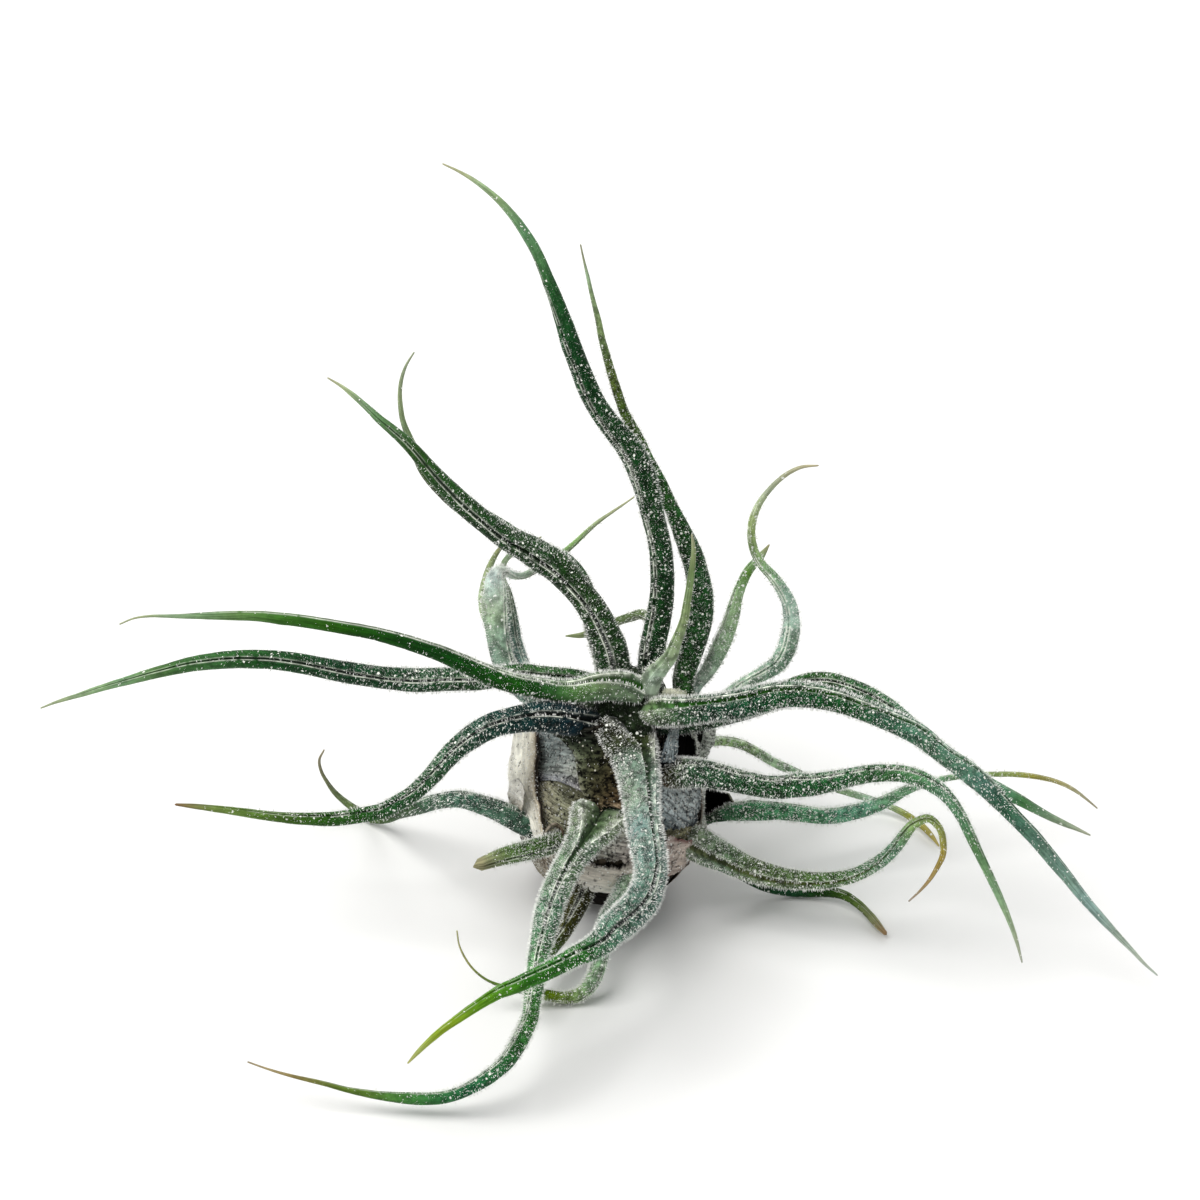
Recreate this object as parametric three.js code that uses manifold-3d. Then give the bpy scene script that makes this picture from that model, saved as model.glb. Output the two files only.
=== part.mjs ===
// A tentacle-leaved bulbous air plant, in millimetres, +Z up, resting on the trimmed underside of its bulb (z = 0).
import * as THREE from 'three';
import { mergeVertices } from 'three/addons/utils/BufferGeometryUtils.js';
import Module from 'manifold-3d';

const wasm = await Module();
wasm.setup();

// ---- driving dimensions (mm) ----
const BULB = { centreZ: 14.3, radius: 12.9, halfHeight: 15, base: 0, neckZ: 29.2, neckRadius: 6.4, sides: 26, rings: 11 };
const SHEATH = { gap: 0.4, thickness: 0.55, layerStep: 0.85 };
const LEAF_GAP = 0.3;        // clear space kept between a leaf and whatever it passes
const GROOVE_DEPTH = 0.42;   // how deep the channel is, as a part of the leaf's radius
const GROOVE_HALF = 24;      // half the channel's opening, degrees
const VIEW = new THREE.Vector3(0, -0.8192, 0.5736);   // the side the channel turns are measured from

// Each leaf: centre line with its radius [x, y, z, r] from base to tip, and the turn of its channel [part of length, degrees].
const LEAVES = {
  leaf_front_hanging: { turn: [[0, -48], [0.12, -42], [0.3, -30], [0.4, -14], [0.5, -6], [0.65, 35], [1, 45]], line: [
    [1.58, -3.00, 31.28, 2.66], [2.35, -6.13, 29.71, 3.14], [3.09, -9.42, 28.49, 2.92], [3.52, -12.82, 27.42, 2.75], [3.74, -16.26, 26.40, 2.63],
    [4.08, -19.71, 25.45, 2.55], [4.56, -23.15, 24.55, 2.49], [4.89, -26.64, 23.77, 2.35], [4.51, -30.12, 22.98, 2.33], [3.14, -33.34, 22.30, 2.39],
    [0.92, -36.11, 21.80, 2.28], [-1.37, -38.69, 20.83, 1.89], [-4.18, -40.88, 20.71, 1.49], [-7.12, -42.92, 20.37, 1.30], [-10.18, -44.75, 19.99, 1.20],
    [-13.39, -46.27, 19.43, 1.06], [-16.57, -47.49, 18.39, 0.84], [-19.56, -48.51, 16.67, 0.70], [-22.44, -49.28, 14.68, 0.54], [-24.98, -49.76, 12.19, 0.39],
    [-27.20, -50.00, 9.38, 0.16],
  ] },
  leaf_right_main: { turn: [[0, -30], [0.1, -32], [0.3, -30], [0.45, -38], [0.65, -60], [1, -80]], line: [
    [3.81, -3.00, 32.85, 1.26], [7.07, -4.11, 33.91, 1.97], [10.50, -4.90, 34.67, 2.03], [13.92, -5.52, 35.62, 2.04], [17.34, -6.10, 36.59, 2.11],
    [20.62, -6.69, 37.96, 2.07], [23.93, -7.34, 39.21, 1.94], [27.42, -8.08, 39.61, 1.85], [30.93, -8.85, 39.34, 1.73], [34.34, -9.60, 38.44, 1.60],
    [37.69, -10.38, 37.39, 1.60], [41.00, -11.16, 36.20, 1.65], [43.98, -11.89, 34.32, 1.53], [46.75, -12.56, 32.13, 1.46], [49.62, -13.18, 30.05, 1.54],
    [52.24, -13.78, 27.64, 1.43], [54.67, -14.40, 25.05, 1.22], [57.12, -15.06, 22.49, 1.09], [59.51, -15.76, 19.89, 1.03], [61.76, -16.56, 17.19, 0.96],
    [64.02, -17.58, 14.58, 0.86], [66.27, -18.83, 12.06, 0.73], [68.68, -20.27, 9.80, 0.59], [71.15, -21.84, 7.70, 0.44], [73.63, -23.47, 5.64, 0.28],
    [76.22, -25.00, 3.67, 0.16],
  ] },
  leaf_left_upper: { turn: [[0, 35], [0.1, 40], [0.3, 60], [1, 65]], line: [
    [4.22, -2.20, 35.90, 1.40], [0.97, -2.59, 37.20, 1.80], [-2.55, -2.85, 37.14, 1.76], [-6.06, -2.97, 36.59, 1.58], [-9.58, -2.93, 37.09, 1.53],
    [-13.09, -2.77, 37.73, 1.48], [-16.45, -2.59, 38.89, 1.47], [-19.65, -2.35, 40.47, 1.34], [-22.84, -2.06, 42.02, 1.23], [-26.17, -1.76, 43.27, 1.15],
    [-29.54, -1.45, 44.38, 1.07], [-32.99, -1.14, 45.25, 1.01], [-36.50, -0.83, 45.82, 0.97], [-40.02, -0.52, 46.32, 0.94], [-43.55, -0.20, 46.74, 0.91],
    [-47.09, 0.12, 47.00, 0.85], [-50.64, 0.43, 47.05, 0.74], [-54.19, 0.74, 46.87, 0.62], [-57.74, 0.95, 46.69, 0.44], [-61.31, 1.00, 46.60, 0.29],
    [-64.87, 1.00, 46.53, 0.17], [-68.18, 1.00, 45.27, 0.16],
  ] },
  leaf_young_centre: { turn: [[0, -35], [0.2, -40], [1, -50]], line: [
    [4.95, -1.00, 33.63, 1.54], [5.57, -1.45, 37.27, 1.56], [7.41, -1.84, 40.47, 1.18], [8.89, -2.09, 43.85, 0.92], [9.91, -2.22, 47.43, 0.73],
    [10.46, -2.28, 51.11, 0.60], [10.88, -2.27, 54.81, 0.52], [11.22, -2.17, 58.52, 0.41], [11.01, -2.00, 62.23, 0.16],
  ] },
  leaf_left_arched: { turn: [[0, 25], [0.2, 12], [0.4, 5], [0.6, 30], [1, 50]], line: [
    [0.19, -2.00, 28.96, 1.69], [-2.40, -3.26, 31.20, 2.11], [-5.49, -4.51, 32.73, 2.32], [-8.82, -5.33, 33.96, 2.31], [-12.44, -5.85, 34.00, 2.07],
    [-16.01, -6.42, 33.44, 1.89], [-19.23, -7.00, 31.80, 1.79], [-22.01, -7.57, 29.49, 1.60], [-24.33, -8.10, 26.70, 1.41], [-26.74, -8.64, 23.99, 1.32],
    [-29.65, -9.08, 21.82, 1.23], [-32.87, -9.26, 20.10, 1.17], [-36.45, -9.16, 19.29, 1.12], [-40.01, -8.77, 18.57, 1.03], [-43.61, -8.18, 18.18, 0.90],
    [-47.21, -7.51, 17.98, 0.77], [-50.80, -6.76, 18.00, 0.67], [-54.39, -5.99, 18.02, 0.55], [-57.97, -5.19, 17.93, 0.40], [-61.55, -4.40, 17.76, 0.18],
  ] },
  leaf_top_tall: { turn: [[0, -18], [0.12, -30], [0.3, -42], [0.5, -32], [0.62, -22], [0.75, -70], [1, -80]], line: [
    [5.56, 3.40, 31.44, 1.55], [5.46, 4.72, 34.72, 1.80], [5.91, 6.11, 37.95, 1.92], [6.71, 7.65, 41.03, 1.88], [7.17, 9.19, 44.19, 1.82],
    [7.23, 10.71, 47.39, 1.77], [6.96, 12.28, 50.55, 1.74], [6.15, 13.84, 53.62, 1.74], [5.35, 15.31, 56.74, 1.81], [4.39, 16.73, 59.83, 1.95],
    [2.88, 18.06, 62.75, 1.94], [0.72, 19.31, 65.25, 1.75], [-1.41, 20.57, 67.78, 1.62], [-3.10, 21.87, 70.60, 1.58], [-4.40, 23.20, 73.62, 1.53],
    [-5.66, 24.57, 76.63, 1.42], [-6.73, 26.02, 79.68, 1.24], [-7.89, 27.55, 82.65, 1.04], [-9.24, 29.13, 85.52, 0.88], [-10.68, 30.71, 88.34, 0.81],
    [-12.57, 32.30, 90.87, 0.69], [-14.80, 33.93, 93.09, 0.54], [-17.40, 35.51, 94.90, 0.40], [-20.27, 37.09, 96.24, 0.26], [-23.35, 38.60, 97.09, 0.16],
  ] },
  leaf_upper_left: { turn: [[0, 0], [0.15, 0], [0.3, -28], [0.45, -12], [0.7, 0], [1, -10]], line: [
    [0.76, 2.40, 31.83, 1.97], [0.41, 3.46, 35.15, 2.48], [-0.11, 4.74, 38.36, 2.64], [-1.37, 6.32, 41.22, 2.36], [-3.07, 8.09, 43.70, 2.09],
    [-5.27, 9.85, 45.79, 2.04], [-7.67, 11.44, 47.78, 2.23], [-10.60, 12.89, 49.04, 2.23], [-13.67, 14.22, 50.04, 1.90], [-16.58, 15.48, 51.50, 1.67],
    [-19.30, 16.65, 53.36, 1.62], [-21.88, 17.83, 55.41, 1.53], [-24.33, 19.04, 57.61, 1.36], [-26.59, 20.29, 59.98, 1.10], [-28.94, 21.61, 62.21, 0.92],
    [-31.60, 22.91, 64.08, 0.70], [-34.19, 24.21, 66.05, 0.50], [-36.84, 25.50, 67.95, 0.32], [-39.75, 26.74, 69.43, 0.16],
  ] },
  leaf_right_behind: { turn: [[0, -60], [0.2, -30], [0.35, -10], [0.5, -16], [0.7, -50], [1, -70]], line: [
    [6.67, -0.92, 28.85, 1.27], [10.14, 0.12, 28.60, 1.45], [13.66, 1.02, 28.80, 1.52], [17.17, 1.92, 29.19, 1.54], [20.63, 2.92, 29.70, 1.56],
    [23.92, 3.99, 30.80, 1.56], [27.22, 4.97, 31.96, 1.54], [30.80, 5.45, 31.99, 1.55], [34.27, 5.13, 30.99, 1.57], [37.55, 4.18, 29.72, 1.58],
    [40.52, 2.93, 28.04, 1.51], [43.26, 1.56, 26.08, 1.39], [46.06, 0.17, 24.20, 1.28], [48.98, -1.20, 22.53, 1.16], [52.06, -2.59, 21.16, 1.06],
    [55.20, -3.88, 19.84, 0.95], [58.43, -4.96, 18.58, 0.79], [61.58, -5.67, 16.89, 0.60], [64.82, -5.95, 15.25, 0.39], [68.02, -6.00, 13.53, 0.16],
  ] },
  leaf_right_middle: { turn: [[0, -55], [0.2, -45], [0.5, -32], [0.7, -45], [1, -50]], line: [
    [7.22, -5.20, 23.63, 1.97], [10.03, -6.89, 25.24, 2.21], [13.18, -8.38, 26.28, 2.06], [16.59, -9.69, 26.38, 1.90], [20.03, -10.93, 26.34, 1.76],
    [23.41, -12.16, 26.81, 1.73], [26.62, -13.34, 28.10, 1.72], [29.78, -14.52, 29.48, 1.56], [32.84, -15.61, 31.14, 1.41], [35.99, -16.67, 32.66, 1.32],
    [39.39, -17.71, 33.47, 1.27], [42.85, -18.69, 32.96, 1.20], [45.82, -19.47, 31.07, 1.01], [47.90, -20.04, 28.13, 0.86], [49.43, -20.48, 24.84, 0.77],
    [50.94, -20.89, 21.53, 0.68], [52.43, -21.30, 18.22, 0.60], [53.92, -21.76, 14.92, 0.52], [55.30, -22.27, 11.57, 0.41], [56.51, -22.83, 8.17, 0.28],
    [57.45, -23.40, 4.68, 0.16],
  ] },
  leaf_front_lowest: { turn: [[0, 0], [0.12, 0], [0.35, 5], [0.5, 45], [0.7, 70], [1, 70]], line: [
    [-1.22, -10.30, 22.60, 2.10], [-2.76, -13.41, 21.42, 2.48], [-4.41, -16.56, 20.49, 2.20], [-5.98, -19.77, 19.65, 2.14], [-7.20, -23.11, 18.76, 2.23],
    [-8.13, -26.53, 17.82, 2.21], [-8.95, -30.00, 16.96, 2.02], [-9.56, -33.50, 16.04, 1.74], [-10.07, -36.99, 15.01, 1.52], [-10.46, -40.38, 13.68, 1.38],
    [-10.92, -43.58, 11.96, 1.24], [-12.39, -46.22, 9.89, 1.22], [-14.41, -48.13, 7.53, 1.15], [-17.29, -49.32, 5.60, 1.04], [-20.48, -49.81, 3.86, 0.95],
    [-23.99, -49.83, 2.90, 0.92], [-27.65, -49.55, 2.71, 0.85], [-31.30, -49.22, 2.90, 0.64], [-34.91, -48.73, 3.28, 0.46], [-38.46, -48.13, 3.98, 0.37],
    [-42.04, -47.47, 4.49, 0.28], [-45.58, -46.77, 5.13, 0.17], [-49.05, -46.08, 6.11, 0.16],
  ] },
  leaf_right_s_curved: { turn: [[0, 10], [0.3, 8], [0.5, 0], [0.8, -30], [1, -40]], line: [
    [12.77, 6.00, 24.58, 1.00], [15.37, 7.21, 26.85, 1.07], [18.18, 8.10, 29.02, 1.06], [21.30, 8.97, 30.69, 1.14], [24.23, 10.05, 32.54, 1.38],
    [25.48, 11.15, 35.76, 1.41], [25.61, 12.32, 39.20, 1.22], [24.33, 13.51, 42.37, 0.98], [22.06, 14.85, 44.90, 0.79], [20.23, 15.90, 47.82, 0.68],
    [19.93, 16.59, 51.37, 0.62], [20.96, 16.92, 54.85, 0.50], [22.92, 16.95, 57.93, 0.39], [25.52, 16.75, 60.47, 0.31], [28.96, 16.40, 61.49, 0.16],
  ] },
  leaf_right_pale: { turn: [[0, -45], [1, -50]], line: [
    [10.46, 5.50, 26.02, 1.00], [11.54, 7.53, 28.60, 1.08], [13.57, 9.38, 30.65, 1.13], [15.29, 11.24, 32.99, 1.31], [16.68, 13.15, 35.52, 1.27],
    [17.65, 14.99, 38.27, 1.03], [18.67, 16.63, 41.14, 0.81], [20.47, 17.98, 43.74, 0.68], [22.55, 19.00, 46.29, 0.16],
  ] },
  leaf_left_long: { turn: [[0, 20], [0.2, 5], [0.35, -6], [0.55, 5], [1, 20]], line: [
    [0.19, 2.50, 31.05, 1.41], [-2.51, 2.70, 33.44, 1.57], [-5.91, 2.76, 34.59, 1.56], [-9.49, 2.62, 35.06, 1.56], [-13.06, 3.15, 35.16, 1.54],
    [-16.49, 3.62, 34.14, 1.56], [-19.92, 4.33, 33.27, 1.65], [-23.48, 4.88, 32.93, 1.80], [-26.99, 5.51, 32.29, 1.83], [-30.56, 6.09, 32.15, 1.74],
    [-34.13, 6.67, 32.25, 1.67], [-37.70, 7.07, 32.63, 1.64], [-41.24, 7.26, 33.33, 1.60], [-44.80, 7.52, 33.95, 1.56], [-48.39, 7.83, 34.24, 1.47],
    [-51.99, 8.20, 34.07, 1.40], [-55.54, 8.61, 33.54, 1.30], [-59.03, 9.06, 32.68, 1.16], [-62.41, 9.49, 31.46, 0.99], [-65.76, 9.92, 30.15, 0.81],
    [-69.06, 10.35, 28.73, 0.66], [-72.37, 10.76, 27.31, 0.53], [-75.63, 11.18, 25.79, 0.40], [-78.91, 11.59, 24.32, 0.26], [-82.08, 12.00, 22.63, 0.16],
  ] },
  leaf_back_left_pale_hook: { turn: [[0, -8], [0.2, -6], [0.5, -4], [0.62, 20], [1, 40]], line: [
    [-9.30, 4.50, 28.52, 1.42], [-11.93, 6.91, 29.47, 1.81], [-13.90, 9.02, 31.79, 2.31], [-15.04, 10.76, 34.84, 2.46], [-15.65, 12.56, 38.03, 2.60],
    [-16.52, 14.88, 40.77, 2.34], [-16.08, 17.97, 42.33, 1.20], [-14.36, 20.41, 40.30, 0.76], [-12.21, 22.71, 38.55, 0.62], [-9.06, 23.90, 39.84, 0.60],
    [-6.25, 23.69, 42.24, 0.49], [-3.97, 23.14, 45.12, 0.39], [-1.70, 22.47, 47.98, 0.30], [0.83, 21.71, 50.59, 0.20], [3.32, 20.90, 53.22, 0.16],
  ] },
  leaf_top_behind: { turn: [[0, -75], [0.5, -80], [1, -70]], line: [
    [10.42, 5.00, 29.21, 1.42], [10.47, 6.84, 32.27, 1.59], [11.45, 8.73, 35.15, 1.85], [12.37, 10.69, 38.01, 2.04], [12.78, 12.70, 40.94, 2.02],
    [12.35, 14.72, 43.86, 1.81], [11.38, 16.70, 46.68, 1.64], [9.96, 18.56, 49.39, 1.38], [8.52, 20.33, 52.16, 1.15], [7.00, 22.01, 54.94, 1.05],
    [5.30, 23.59, 57.67, 0.97], [3.81, 25.08, 60.57, 0.90], [2.13, 26.48, 63.40, 0.76], [0.93, 27.90, 66.47, 0.68], [-0.12, 29.35, 69.57, 0.63],
    [-1.10, 30.78, 72.70, 0.53], [-1.80, 32.07, 75.97, 0.43], [-2.67, 33.30, 79.23, 0.31], [-3.45, 34.47, 82.52, 0.21], [-4.22, 35.60, 85.84, 0.16],
  ] },
  leaf_upper_left_snaking: { turn: [[0, -55], [1, -60]], line: [
    [0.21, 6.50, 27.40, 1.28], [-0.40, 8.38, 30.44, 1.43], [-1.33, 10.42, 33.29, 1.46], [-2.28, 12.61, 36.02, 1.48], [-3.07, 14.75, 38.83, 1.49],
    [-4.24, 16.70, 41.64, 1.51], [-6.55, 18.32, 43.84, 1.49], [-9.74, 19.63, 44.94, 1.41], [-12.95, 20.78, 46.19, 1.41], [-16.04, 21.86, 47.74, 1.38],
    [-19.23, 22.94, 49.06, 1.32], [-22.34, 24.05, 50.51, 1.25], [-24.93, 25.23, 52.75, 1.11], [-27.06, 26.47, 55.38, 0.89], [-28.46, 27.62, 58.52, 0.60],
    [-29.58, 28.48, 61.84, 0.45], [-29.84, 28.88, 65.42, 0.35], [-29.26, 28.99, 68.99, 0.25], [-27.67, 29.00, 72.24, 0.16],
  ] },
  leaf_left_low: { turn: [[0, 55], [1, 60]], line: [
    [-9.98, -7.60, 15.87, 1.77], [-13.15, -7.46, 17.39, 1.79], [-16.29, -6.22, 18.30, 1.56], [-19.19, -4.24, 17.99, 1.39], [-21.71, -2.02, 16.91, 1.30],
    [-23.78, 0.13, 15.02, 1.26], [-25.59, 2.30, 12.89, 1.25], [-27.24, 4.48, 10.63, 1.26], [-28.86, 6.69, 8.39, 1.18], [-30.49, 8.87, 6.14, 1.07],
    [-32.10, 10.95, 3.77, 0.96], [-34.06, 12.98, 1.66, 0.82], [-36.77, 15.02, 1.06, 0.65], [-39.59, 16.33, 2.64, 0.50], [-41.61, 16.55, 5.50, 0.34],
    [-42.67, 16.28, 8.85, 0.24], [-41.88, 15.77, 12.20, 0.16],
  ] },
  leaf_trimmed_short: { turn: [[0, -25], [1, -25]], line: [
    [-6.82, -12.20, 17.88, 1.40], [-8.60, -13.86, 18.06, 1.54], [-10.44, -15.37, 18.58, 1.49], [-12.32, -16.84, 19.12, 1.45], [-14.20, -18.29, 19.69, 1.37],
    [-16.11, -19.75, 20.09, 1.16], [-18.06, -21.20, 20.32, 0.90],
  ] },
  leaf_right_hooked: { turn: [[0, -48], [0.3, -52], [0.6, -60], [1, -60]], line: [
    [10.41, -6.32, 13.60, 1.84], [13.60, -7.45, 12.12, 2.23], [16.95, -8.56, 11.00, 2.02], [20.32, -9.71, 10.06, 1.86], [23.80, -10.94, 9.84, 1.65],
    [27.25, -12.18, 10.29, 1.41], [30.59, -13.39, 11.27, 1.24], [33.71, -14.52, 12.90, 1.14], [36.35, -15.49, 15.28, 1.10], [38.56, -16.31, 18.12, 1.01],
    [40.24, -17.01, 21.33, 0.94], [41.82, -17.68, 24.60, 0.76], [44.76, -18.39, 25.56, 0.54], [45.95, -18.80, 22.14, 0.49], [45.46, -19.00, 18.54, 0.39],
    [43.87, -19.15, 15.21, 0.23], [41.59, -19.30, 12.30, 0.16],
  ] },
  leaf_right_open_sheath: { turn: [[0, -65], [1, -60]], line: [
    [12.81, -0.50, 12.30, 1.43], [16.24, -0.60, 13.64, 1.67], [19.85, -0.05, 13.32, 1.59], [23.33, 0.91, 12.51, 1.46], [26.64, 1.98, 11.29, 1.33],
    [29.91, 3.05, 9.95, 1.29], [33.36, 4.14, 9.25, 1.25], [36.87, 5.26, 9.44, 1.17], [40.28, 6.42, 10.27, 0.98], [43.55, 7.60, 11.47, 0.77],
    [47.04, 8.71, 11.95, 0.60], [50.60, 9.69, 11.96, 0.47], [54.20, 10.49, 11.71, 0.43], [57.84, 11.00, 11.40, 0.42], [61.50, 11.14, 10.92, 0.40],
    [65.08, 10.95, 10.06, 0.34], [68.30, 10.49, 8.32, 0.24], [71.08, 10.00, 5.95, 0.16],
  ] },
  leaf_right_low: { turn: [[0, -40], [1, -30]], line: [
    [10.79, -4.00, 9.24, 1.14], [13.87, -4.06, 7.63, 1.03], [16.96, -3.96, 6.07, 0.96], [19.75, -3.72, 4.01, 0.98], [22.65, -3.43, 2.12, 0.96],
    [25.94, -3.22, 1.10, 0.92], [29.40, -3.43, 1.13, 0.89], [32.60, -4.54, 1.78, 0.80], [35.36, -6.61, 1.58, 0.66], [37.38, -9.38, 1.09, 0.60],
    [39.08, -12.40, 0.84, 0.33],
  ] },
  leaf_right_thin: { turn: [[0, -55], [1, -60]], line: [
    [11.43, 7.00, 19.18, 0.86], [13.66, 9.50, 18.27, 0.78], [16.10, 11.62, 16.99, 0.76], [18.70, 13.18, 15.29, 0.79], [21.20, 14.20, 13.11, 0.78],
    [23.65, 14.93, 10.76, 0.77], [26.40, 15.58, 8.73, 0.73], [29.16, 16.15, 6.69, 0.68], [32.11, 16.62, 4.93, 0.64], [35.23, 16.92, 3.42, 0.60],
    [38.52, 16.79, 2.31, 0.53], [41.73, 15.75, 1.56, 0.49], [44.45, 13.63, 1.24, 0.50], [46.55, 10.88, 1.09, 0.43], [48.11, 7.80, 0.63, 0.16],
  ] },
  leaf_front_hook: { turn: [[0, -35], [1, -50]], line: [
    [3.01, -11.50, 11.95, 1.41], [1.87, -14.53, 10.27, 1.48], [0.38, -17.66, 9.21, 1.45], [-0.78, -20.78, 7.82, 1.40], [-1.45, -23.71, 5.78, 1.23],
    [-2.59, -25.79, 3.05, 1.15], [-5.35, -26.62, 1.03, 0.96], [-8.87, -27.05, 1.73, 0.81], [-12.32, -27.34, 2.86, 0.56], [-15.76, -27.50, 4.02, 0.28],
    [-18.67, -27.33, 6.16, 0.18], [-20.55, -26.92, 9.24, 0.16], [-21.24, -26.40, 12.75, 0.16],
  ] },
  leaf_front_olive: { turn: [[0, 0], [1, 10]], line: [
    [-3.20, -11.50, 9.78, 1.55], [-4.83, -14.59, 8.15, 1.83], [-6.40, -17.84, 6.80, 1.58], [-8.16, -21.17, 6.01, 1.30], [-9.44, -24.77, 5.48, 1.03],
    [-10.20, -28.49, 4.81, 0.72], [-11.03, -32.20, 4.16, 0.21],
  ] },
  leaf_back_left_thin: { turn: [[0, 40], [1, 50]], line: [
    [-10.04, 6.00, 27.77, 0.78], [-12.03, 8.68, 28.42, 0.85], [-13.62, 11.32, 29.85, 0.89], [-15.22, 13.75, 31.61, 0.90], [-16.86, 16.03, 33.54, 0.73],
    [-18.37, 18.42, 35.39, 0.57], [-18.23, 20.84, 37.74, 0.56], [-17.25, 23.06, 40.12, 0.48], [-15.49, 25.12, 42.15, 0.33], [-13.04, 27.10, 43.39, 0.16],
  ] },
  leaf_back_left_narrow: { turn: [[0, 10], [1, 30]], line: [
    [-7.76, 6.60, 28.39, 1.00], [-10.20, 9.27, 29.22, 1.03], [-11.99, 12.07, 30.82, 1.06], [-12.99, 14.96, 32.91, 0.99], [-13.85, 17.73, 35.22, 0.77],
    [-14.83, 20.34, 37.65, 0.56], [-15.51, 22.89, 40.12, 0.49], [-13.07, 25.27, 41.42, 0.36], [-10.02, 27.30, 42.03, 0.16],
  ] },
  leaf_back_curl: { turn: [[0, -40], [1, -60]], line: [
    [4.21, 7.50, 26.31, 0.79], [5.84, 10.55, 27.34, 0.90], [6.96, 13.80, 28.45, 0.99], [7.13, 17.23, 29.52, 0.99], [6.74, 20.67, 30.51, 0.97],
    [4.89, 23.65, 30.86, 0.83], [2.47, 25.48, 28.98, 0.72], [-0.21, 26.74, 26.91, 0.60], [-3.09, 27.53, 24.88, 0.50], [-6.50, 28.00, 23.97, 0.16],
  ] },
  leaf_back_low: { turn: [[0, 0], [1, 0]], line: [
    [3.00, 9.50, 19.00, 1.50], [3.32, 12.82, 20.27, 1.58], [3.84, 16.33, 20.42, 1.58], [4.40, 19.73, 19.56, 1.54], [4.89, 22.82, 17.86, 1.51],
    [5.38, 25.58, 15.66, 1.46], [5.81, 28.06, 13.13, 1.40], [6.10, 30.36, 10.43, 1.32], [6.21, 32.60, 7.65, 1.23], [6.09, 34.84, 4.88, 1.13],
    [5.60, 37.46, 2.51, 1.01], [4.76, 40.60, 1.15, 0.89], [3.64, 43.98, 0.83, 0.76], [2.28, 47.27, 0.86, 0.57], [0.80, 50.50, 1.20, 0.25],
  ] },
};

// Each dry sheath: middle azimuth (0 = +X, -90 = front), half widths at foot and top (degrees), foot and top height, layer,
// lip = how far its free upper edge stands off, lean = drift of the middle toward its top (degrees).
const SHEATHS = {
  sheath_front_wide: { az: -112, half: [40, 22], z: [3.4, 28.2], layer: 0, lip: 0.0, lean: 14 },
  sheath_left_wrap: { az: 180, half: [34, 25], z: [3.0, 26.5], layer: 1, lip: 0.2, lean: 4 },
  sheath_right_front: { az: -36, half: [31, 25], z: [3.6, 27.4], layer: 0, lip: 0.0, lean: 0 },
  sheath_right_low: { az: -46, half: [32, 20], z: [1.7, 11.2], layer: 1, lip: 0.35, lean: 6 },
  sheath_front_low: { az: -112, half: [31, 21], z: [1.2, 8.2], layer: 1, lip: 0.35, lean: 0 },
  sheath_right_open: { az: 8, half: [19, 13], z: [7.2, 19.6], layer: 1, lip: 1.1, lean: 0 },
  sheath_back_right: { az: 40, half: [40, 28], z: [3.2, 27.2], layer: 0, lip: 0.0, lean: -4 },
  sheath_back_left: { az: 120, half: [37, 26], z: [3.6, 27.6], layer: 0, lip: 0.0, lean: 4 },
  sheath_back_low: { az: 86, half: [44, 26], z: [1.5, 12.0], layer: 1, lip: 0.4, lean: 0 },
};

const COLOURS = { leaf: 0x6f8a70, pale: 0x9aa892, olive: 0x8a8a55, sheath: 0xb3aa9b, core: 0x9b9080 };

// ---- helpers ----
function tidy(geometry) {
  const g = geometry.clone();
  g.deleteAttribute('normal');
  g.deleteAttribute('uv');
  return mergeVertices(g, 1e-4);
}
function toSolid(geometry) {
  const g = tidy(geometry);
  return new wasm.Manifold(new wasm.Mesh({
    numProp: 3,
    vertProperties: new Float32Array(g.attributes.position.array),
    triVerts: new Uint32Array(g.index.array),
  }));
}
function toGeometry(solid) {
  const m = solid.getMesh();
  const g = new THREE.BufferGeometry();
  const n = m.numProp, count = m.vertProperties.length / n;
  const p = new Float32Array(count * 3);
  for (let i = 0; i < count; i++) for (let j = 0; j < 3; j++) p[3 * i + j] = m.vertProperties[n * i + j];
  g.setAttribute('position', new THREE.BufferAttribute(p, 3));
  g.setIndex(new THREE.BufferAttribute(new Uint32Array(m.triVerts), 1));
  return mergeVertices(g, 1e-3);
}
function largest(solid) {
  const parts = solid.decompose();
  let best = parts[0], size = -1;
  for (const part of parts) {
    const v = part.volume();
    if (v > size) { size = v; best = part; }
  }
  return best;
}
function lookUp(table, t) {
  for (let i = 1; i < table.length; i++) {
    if (t <= table[i][0]) {
      const [a, va] = table[i - 1], [b, vb] = table[i];
      return va + (vb - va) * (t - a) / (b - a);
    }
  }
  return table[table.length - 1][1];
}
// centre points, tangents and channel directions along one leaf
function frames(leaf) {
  const pts = leaf.line.map(([x, y, z]) => new THREE.Vector3(x, y, z));
  const n = pts.length;
  const tangents = pts.map((_, i) => new THREE.Vector3().subVectors(pts[Math.min(n - 1, i + 1)], pts[Math.max(0, i - 1)]).normalize());
  let channel = pts.map((_, i) => {
    const t = tangents[i];
    const side = new THREE.Vector3().crossVectors(t, VIEW).normalize();
    const face = new THREE.Vector3().crossVectors(side, t).normalize();
    const a = THREE.MathUtils.degToRad(lookUp(leaf.turn, i / (n - 1)));
    return face.multiplyScalar(Math.cos(a)).addScaledVector(side, Math.sin(a));
  });
  for (let pass = 0; pass < 4; pass++) {
    channel = channel.map((c, i) => {
      const s = c.clone().multiplyScalar(2).add(channel[Math.max(0, i - 1)]).add(channel[Math.min(n - 1, i + 1)]);
      return s.addScaledVector(tangents[i], -s.dot(tangents[i])).normalize();
    });
  }
  return { pts, tangents, channel, radii: leaf.line.map((p) => p[3]) };
}
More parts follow.
